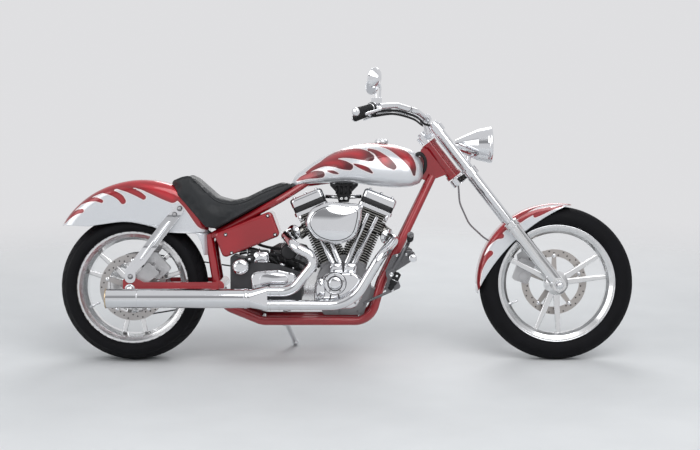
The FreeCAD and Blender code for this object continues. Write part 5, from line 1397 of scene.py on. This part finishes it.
def makeOilFilter():
    # a black spin-on filter with a fluted end and its seat, the cables beside it, and the solenoid
    at = np.array((0.688, -0.030, 0.484))
    t = np.linspace(0, 2 * math.pi, 64, endpoint=False)
    flute = 1 + 0.018 * np.cos(14 * t)
    rows = []
    for along, r in metres([(0, 0), (0, 37), (6, 39), (10, 37.5), (60, 37.5), (64, 37), (84, 35), (90, 31),
                            (93, 24), (93, 0)]):
        f = r * (flute if 0.062 < along < 0.092 else 1.0)
        rows.append(np.stack([at[0] + f * np.cos(t), at[1] - along + 0 * t, at[2] + f * np.sin(t)], 1))
    black = [patch(np.array(rows), False, True)]
    steel = [turned([(0, 0), (0, 30), (40, 30), (42, 41), (48, 41), (49, 0)],
                    at + (0, 0.046, 0), toRight, 40),
             ring(at + (0, -0.022, 0), toLeft, 0.0380, 0.0018, 56, 8)]
    # cables strapped under the oil tank, and their ties
    for y, drop in ((-0.095, 0.0), (-0.082, 0.012), (-0.070, -0.006)):
        line = [(0.470, y, 0.486 - drop), (0.520, y - 0.004, 0.492 - drop), (0.570, y, 0.476 - drop),
                (0.612, y + 0.01, 0.452), (0.640, y + 0.02, 0.430)]
        black.append(sweep(smoothLine(line, 50), 0.0052, 10))
    for x, z in ((0.505, 0.487), (0.560, 0.476)):
        steel.append(ring((x, -0.083, z), (1, 0, 0.1), 0.021, 0.0022, 32, 8))
    # solenoid over the starter
    black.append(turned([(-4, 0), (-4, 19), (50, 19), (56, 15), (58, 0)],
                        (0.516, -0.060, 0.452), toRight, 32))
    steel.append(bolt((0.516, -0.120, 0.452), toRight, 0.0060, nutHead))
    addTrim("chassis", oilFilter=(black, "dark"), oilFilterSeat=(steel, "chrome"))


def makeMountWeb():
    # a dark web between gearbox and rear cylinder with ribs and bolts, and the solenoid's cover
    outline = metres([(590, 438), (640, 426), (742, 390), (786, 378), (798, 420),
                      (784, 470), (762, 508), (702, 524), (640, 516), (602, 496)])
    dark, bright = [plate(outline, 0.016, 0.030, 0.003)], []
    ribs = [(612, 498, 640, 432), (648, 510, 668, 424), (742, 506, 730, 400), (772, 478, 762, 392),
            (706, 430, 790, 424)]
    for x0, z0, x1, z1 in metres(ribs):
        line = np.stack([np.linspace(x0, x1, 6), np.full(6, 0.0155), np.linspace(z0, z1, 6)], 1)
        dark.append(sweep(line, 0.0042, 10))
    for x, z in ((0.618, 0.470), (0.716, 0.512), (0.780, 0.448), (0.752, 0.404)):
        bright.append(bolt((x, 0.0150, z), toRight, 0.0055))
    cover = metres([(534, 437), (594, 437), (600, 446), (600, 472), (590, 482), (543, 484), (534, 474)])
    bright.append(dome(cover, 0.97, -0.104, 0.0110, -1))
    bright.append(plate(cover, -0.106, -0.088, 0.002))
    addTrim("chassis", mountWeb=(dark, "cast"), solenoidCover=(bright, "chrome"))


def makeOilTankTrim():
    # a filler cap on the sloping top, and screws on rubber washers at the corners of both sides
    bright, dark = [], []
    cap = metres([(-4, 0), (-4, 23), (2, 23.5), (4, 20.5), (10, 20.5), (13, 18), (14.5, 10), (15, 0)])
    washer = [(-2, 0), (-2, 8.5), (1.2, 8), (1.6, 0)]
    top = np.array((0.540, 0.060, 0.627))
    bright.append(lathe(cap, top, (-0.35, 0, 0.94), 36))
    for x, z in ((0.412, 0.560), (0.596, 0.642), (0.628, 0.560), (0.438, 0.480)):
        for side in (-1, 1):
            at = touch("oil_tank", x, z, side)
            dark.append(turned(washer, at, (0, side, 0), 20))
            bright.append(bolt(at + (0, side * 0.0008, 0), (0, side, 0), 0.0046))
    addTrim("chassis", oilTankCap=(bright, "chrome"), oilTankWashers=(dark, "rubber"))


makeOilTankTrim()
makeOilFilter()
makeMountWeb()
makeRockerTrim(engine)
makePlugs()
makeEngineScrews(engineScrews)


def makeAirCleanerTrim():
    # a bulge over the cleaner's flat face, with a fine line round it and one round the base
    outline = metres([(756, 612), (784, 672), (860, 706), (1010, 696), (1004, 626), (980, 549),
                      (900, 518), (802, 544)])
    bulge = dome(outline, 0.84, -0.2392, 0.0120, -1)
    seam = bead(outline, 0.845, -0.2390, 0.0013)
    base = bead(outline, 0.985, -0.1700, 0.0022)
    addPiece("airCleanerBulge", bulge, "chassis", finishes["chrome"])
    addTrim("chassis", airCleanerSeams=([seam, base], "dark"))


def makeSeatPan():
    # the black pan between the saddle and the rails, with its edge strip
    outline = metres([(352, 590), (372, 572), (705, 752), (716, 774), (700, 784), (372, 606)])
    rail, edge = metres([(372, 128, 590), (450, 124, 632), (560, 92, 691), (690, 56, 762)]), []
    for side in (-1, 1):
        line = rail * (1, side, 1)
        edge.append(sweep(smoothLine(line, 50), 0.0035, 10))
    addPiece("seatPan", plate(outline, -0.046, 0.046, 0.002), "chassis", finishes["dark"])
    addTrim("chassis", seatPanEdge=(edge, "rubber"))


makeSeatPan()
makeAirCleanerTrim()
makeStarter()
makeTappetBlocks()
makeOilLines(oilLines)
print("engine trim done")


pipes = {
    "y": -0.228, "muffler": 0.290, "radius": 0.042, "tube": 0.022, "tail": -0.097,
    "band": 0.500, "seam": 0.040,
    "clamps": (0.612, 0.650), "tubes": (0.320, 0.261),
    "ports": [((0.7160, -0.040, 0.5700), (-0.5, -0.85, -0.15)),
              ((1.1120, -0.040, 0.5490), (0.45, -0.88, -0.12))],
}


def makePipeTrim(p):
    # a rolled lip at the tail, a band where the muffler starts, rings on the pipes and port flanges
    bright = []
    y, z, r = p["y"], p["muffler"], p["radius"]
    mouth = [(0.085, 0.0), (0.080, r - 0.0045), (0.0, r - 0.0034), (0.0, r - 0.0060),
             (0.078, r - 0.0075), (0.080, 0.0)]
    band = [(0.0, r - 0.004), (0.0, r + 0.0015), (0.002, r + 0.002), (0.012, r + 0.002), (0.014, r + 0.0015),
            (0.014, r - 0.004), (0.0, r - 0.004)]
    flange = [(-5, 0), (-5, 32), (0, 34), (5, 32), (6, 23.5), (10, 22.5), (10, 0)]
    lip = [ring((p["tail"] + 0.0015, y, z), toFront, r - 0.0010, 0.0030, 64, 10),
           lathe(mouth, (p["tail"], y, z), toFront, 48)]
    addTrim("chassis", tailLip=(lip, "tinted"))
    bright.append(lathe(band, (p["band"], y, z), toFront, 64))
    bright.append(ring((p["seam"], y, z), toFront, r + 0.0002, 0.0012, 64, 8))
    for x in p["clamps"]:
        for zz in p["tubes"]:
            bright.append(ring((x, y, zz), toFront, p["tube"] + 0.0004, 0.0018, 40, 8))
    for port, away in p["ports"]:
        a = np.array(away) / np.linalg.norm(away)
        start = np.array(port) + a * 0.016
        bright.append(turned(flange, start, a, 40))
        for s in (-1, 1):
            bright.append(bolt(start + np.array((0, 0, s * 0.027)), a, 0.0055, nutHead))
    addTrim("chassis", pipeTrim=(bright, "chrome"))


makePipeTrim(pipes)


pegs = {"at": mm(1222, 0, 468), "from": 0.196, "to": 0.318, "radius": 0.0170}


def makePegs(p):
    # ribbed rubber sleeves between chromed ends on the pegs and pedals, and the controls' screws
    rubber, bright = [], []
    for side in (-1, 1):
        start = np.array(p["at"]) + (0, side * p["from"], 0)
        axis = (0, side, 0)
        length = p["to"] - p["from"]
        t = np.linspace(0, 1, 97)
        wave = np.abs(np.sin(t * 9 * math.pi)) ** 0.6
        r = p["radius"] - 0.0030 + 0.0030 * wave
        prof = [(0.010, 0.0)] + list(zip(0.010 + t * (length - 0.020), r)) + [(length - 0.010, 0.0)]
        rubber.append(lathe(prof, start, axis, 28))
        bright.append(turned([(0, 0), (0, 16.5), (3, 17), (10, 17), (11, 0)], start, axis, 28))
        bright.append(lathe([(length - 0.011, 0.0), (length - 0.010, 0.017), (length - 0.003, 0.017),
                             (length, 0.013), (length, 0.0)], start, axis, 28))
        pad = np.array(mm(1214.0, side * 222.0, 544.0))
        run = np.array(mm(0.0, side * 64.0, 24.0))
        wide = np.linalg.norm(run)
        wave = np.abs(np.sin(t * 6 * math.pi)) ** 0.6
        prof = [(0.0, 0.0)] + list(zip(t * wide, 0.0118 + 0.0025 * wave)) + [(wide, 0.0)]
        rubber.append(lathe(prof, pad, run, 24))
        for x, y, z, radius, kind in ((1136, 162, 388, 0.0105, boltHead), (1160, 136, 470, 0.0060, boltHead),
                                      (1200, 136, 474, 0.0060, boltHead), (1140, 150, 318, 0.0065, nutHead)):
            bright.append(bolt(mm(x, side * y, z), axis, radius, kind))
    # brake cylinder with its boot on the right, a band and a nut
    start, end = np.array(mm(1128.0, -166.0, 322.0)), np.array(mm(1166.0, -166.0, 398.0))
    rubber.append(turned([(0, 0), (0, 8), (6, 12.5), (12, 9), (18, 13.5), (24, 10), (30, 14.5), (36, 15.5),
                          (78, 15.5), (82, 12), (85, 0)], start, end - start, 24))
    bright.append(ring(start + (end - start) * 0.55, end - start, 0.0158, 0.0016, 32, 8))
    bright.append(bolt(start + (end - start) * 0.80 - (0, 0.0145, 0), toRight, 0.0055, nutHead))
    addPiece("pegRubbers", join(rubber), "chassis", finishes["rubber"], ["foot_pegs"])
    addTrim("chassis", controlScrews=(bright, "chrome"))


makePegs(pegs)


def makeWiring():
    # two loops of black loom in front of the tank, which also paint the shade of the gap between tank and
    # neck
    loom = []
    for y, top, radius in ((-0.034, 0.916, 0.0072), (-0.050, 0.910, 0.0060)):
        line = [(1.226, y * 0.6, 0.890), (1.262, y, top), (1.286, y * 1.15, 0.890), (1.286, y, 0.846),
                (1.262, y * 0.7, 0.812)]
        loom.append(sweep(smoothLine(line, 50), radius, 12))
    addTrim("chassis", neckLoom=(loom, "rubber"))


makeWiring()
print("exhaust and control trim done")


view = {"place": (0.0125, -6.9757, 1.7107), "tilt": 9.18, "lens": 81.08, "aim": (0.0, 0.0, 0.5),
        "backdrop": (0.74, 0.74, 0.755, 1), "dim": 0.62, "fade": (1.4, 4.5)}
light = {
    "key": {"at": (1.5, -3.6, 4.2), "aim": (0.0, 0.0, 0.4), "size": 5.2, "power": 178.0},
    "fill": {"at": (-4.2, -2.6, 2.6), "aim": (0.0, 0.0, 0.5), "size": 4.4, "power": 82.0},
    "rim": {"at": (0.5, 3.8, 3.4), "aim": (0.0, 0.0, 0.6), "size": 3.0, "power": 90.0},
}


def aimAt(obj, at, target):
    # puts the object there with its -Z axis towards the target
    obj.location = at
    obj.rotation_euler = (Vector(target) - Vector(at)).to_track_quat("-Z", "Y").to_euler()


def makeStage():
    # the camera, three soft lamps, a world that is pale where it is seen, and the floor
    cam = bpy.data.cameras.new("camera")
    cam.lens = view["lens"]
    cam.sensor_width = 36.0
    camObj = bpy.data.objects.new("camera", cam)
    camObj.location = view["place"]
    camObj.rotation_euler = (math.radians(90.0 - view["tilt"]), 0.0, 0.0)
    bpy.context.collection.objects.link(camObj)
    bpy.context.scene.camera = camObj
    for name, spec in light.items():
        source = bpy.data.lights.new(name, "AREA")
        source.shape = "DISK"
        source.size = spec["size"]
        source.energy = spec["power"]
        obj = bpy.data.objects.new(name, source)
        aimAt(obj, spec["at"], spec["aim"])
        bpy.context.collection.objects.link(obj)
    world = bpy.data.worlds.new("studio")
    bpy.context.scene.world = world
    world.use_nodes = True
    tree = world.node_tree
    tree.nodes.clear()
    ray = node(tree, "ShaderNodeLightPath").outputs
    seen = sums(tree, "MAXIMUM", ray["Is Camera Ray"], ray["Is Transmission Ray"])
    seen = sums(tree, "MAXIMUM", seen, ray["Is Glossy Ray"])
    soft = node(tree, "ShaderNodeBackground", {"Color": (0.80, 0.84, 0.88, 1), "Strength": 0.42})
    # the ceiling behind the camera is dim, which gives the chrome its darker stripe
    sight = node(tree, "ShaderNodeTexCoord").outputs["Generated"]
    y, z = node(tree, "ShaderNodeSeparateXYZ", {"Vector": sight}).outputs[1:]
    dim = sums(tree, "MULTIPLY", ramp(tree, z, 0.20, 0.34), ramp(tree, z, 0.52, 0.80, 1.0, 0.0))
    dim = sums(tree, "MULTIPLY", dim, ramp(tree, y, -0.5, 0.15, 1.0, 0.0))
    sky = mixColour(tree, sums(tree, "MULTIPLY", dim, view["dim"]), view["backdrop"], (0.03, 0.03, 0.035, 1))
    pale = node(tree, "ShaderNodeBackground", {"Color": sky, "Strength": 1.0})
    both = node(tree, "ShaderNodeMixShader", {0: seen, 1: soft.outputs[0], 2: pale.outputs[0]})
    out = node(tree, "ShaderNodeOutputWorld")
    tree.links.new(both.outputs[0], out.inputs["Surface"])
    bpy.context.scene.view_settings.view_transform = "Standard"

    # a round floor whose far part fades into the backdrop
    turn = np.linspace(0, 2 * math.pi, 97)[:-1]
    reach = np.array([0.0001, 1.0, 2.0, 4.0, 7.0, 11.0])
    pts = np.stack([reach[:, None] * np.cos(turn), reach[:, None] * np.sin(turn),
                    np.zeros((len(reach), len(turn)))], -1)
    v, f = patch(pts, False, True)
    mesh = bpy.data.meshes.new("floor")
    mesh.from_pydata(v.tolist(), [], f.tolist())
    floor = bpy.data.objects.new("floor", mesh)
    bpy.context.collection.objects.link(floor)
    mat, ftree, out, where = startFinish("paleFloor")
    mottle = ramp(ftree, noise(ftree, where, 3.0, 5.0), 0.3, 0.7)
    tint = mixColour(ftree, mottle, (0.70, 0.71, 0.72, 1), (0.74, 0.75, 0.76, 1))
    bsdf = surfaceOf(ftree, out, Base_Color=tint, Roughness=0.8, Specular_IOR_Level=0.2)
    flat = node(ftree, "ShaderNodeVectorMath", {0: where}, operation="LENGTH").outputs["Value"]
    near, far = view["fade"]
    fade = node(ftree, "ShaderNodeMapRange", {"Value": flat, "From Min": near, "From Max": far},
                interpolation_type="SMOOTHSTEP").outputs["Result"]
    clear = node(ftree, "ShaderNodeBsdfTransparent")
    both = node(ftree, "ShaderNodeMixShader", {0: fade, 1: bsdf.outputs[0], 2: clear.outputs[0]})
    ftree.links.new(both.outputs[0], out.inputs["Surface"])
    mesh.materials.append(mat)


makeStage()
print("stage done")
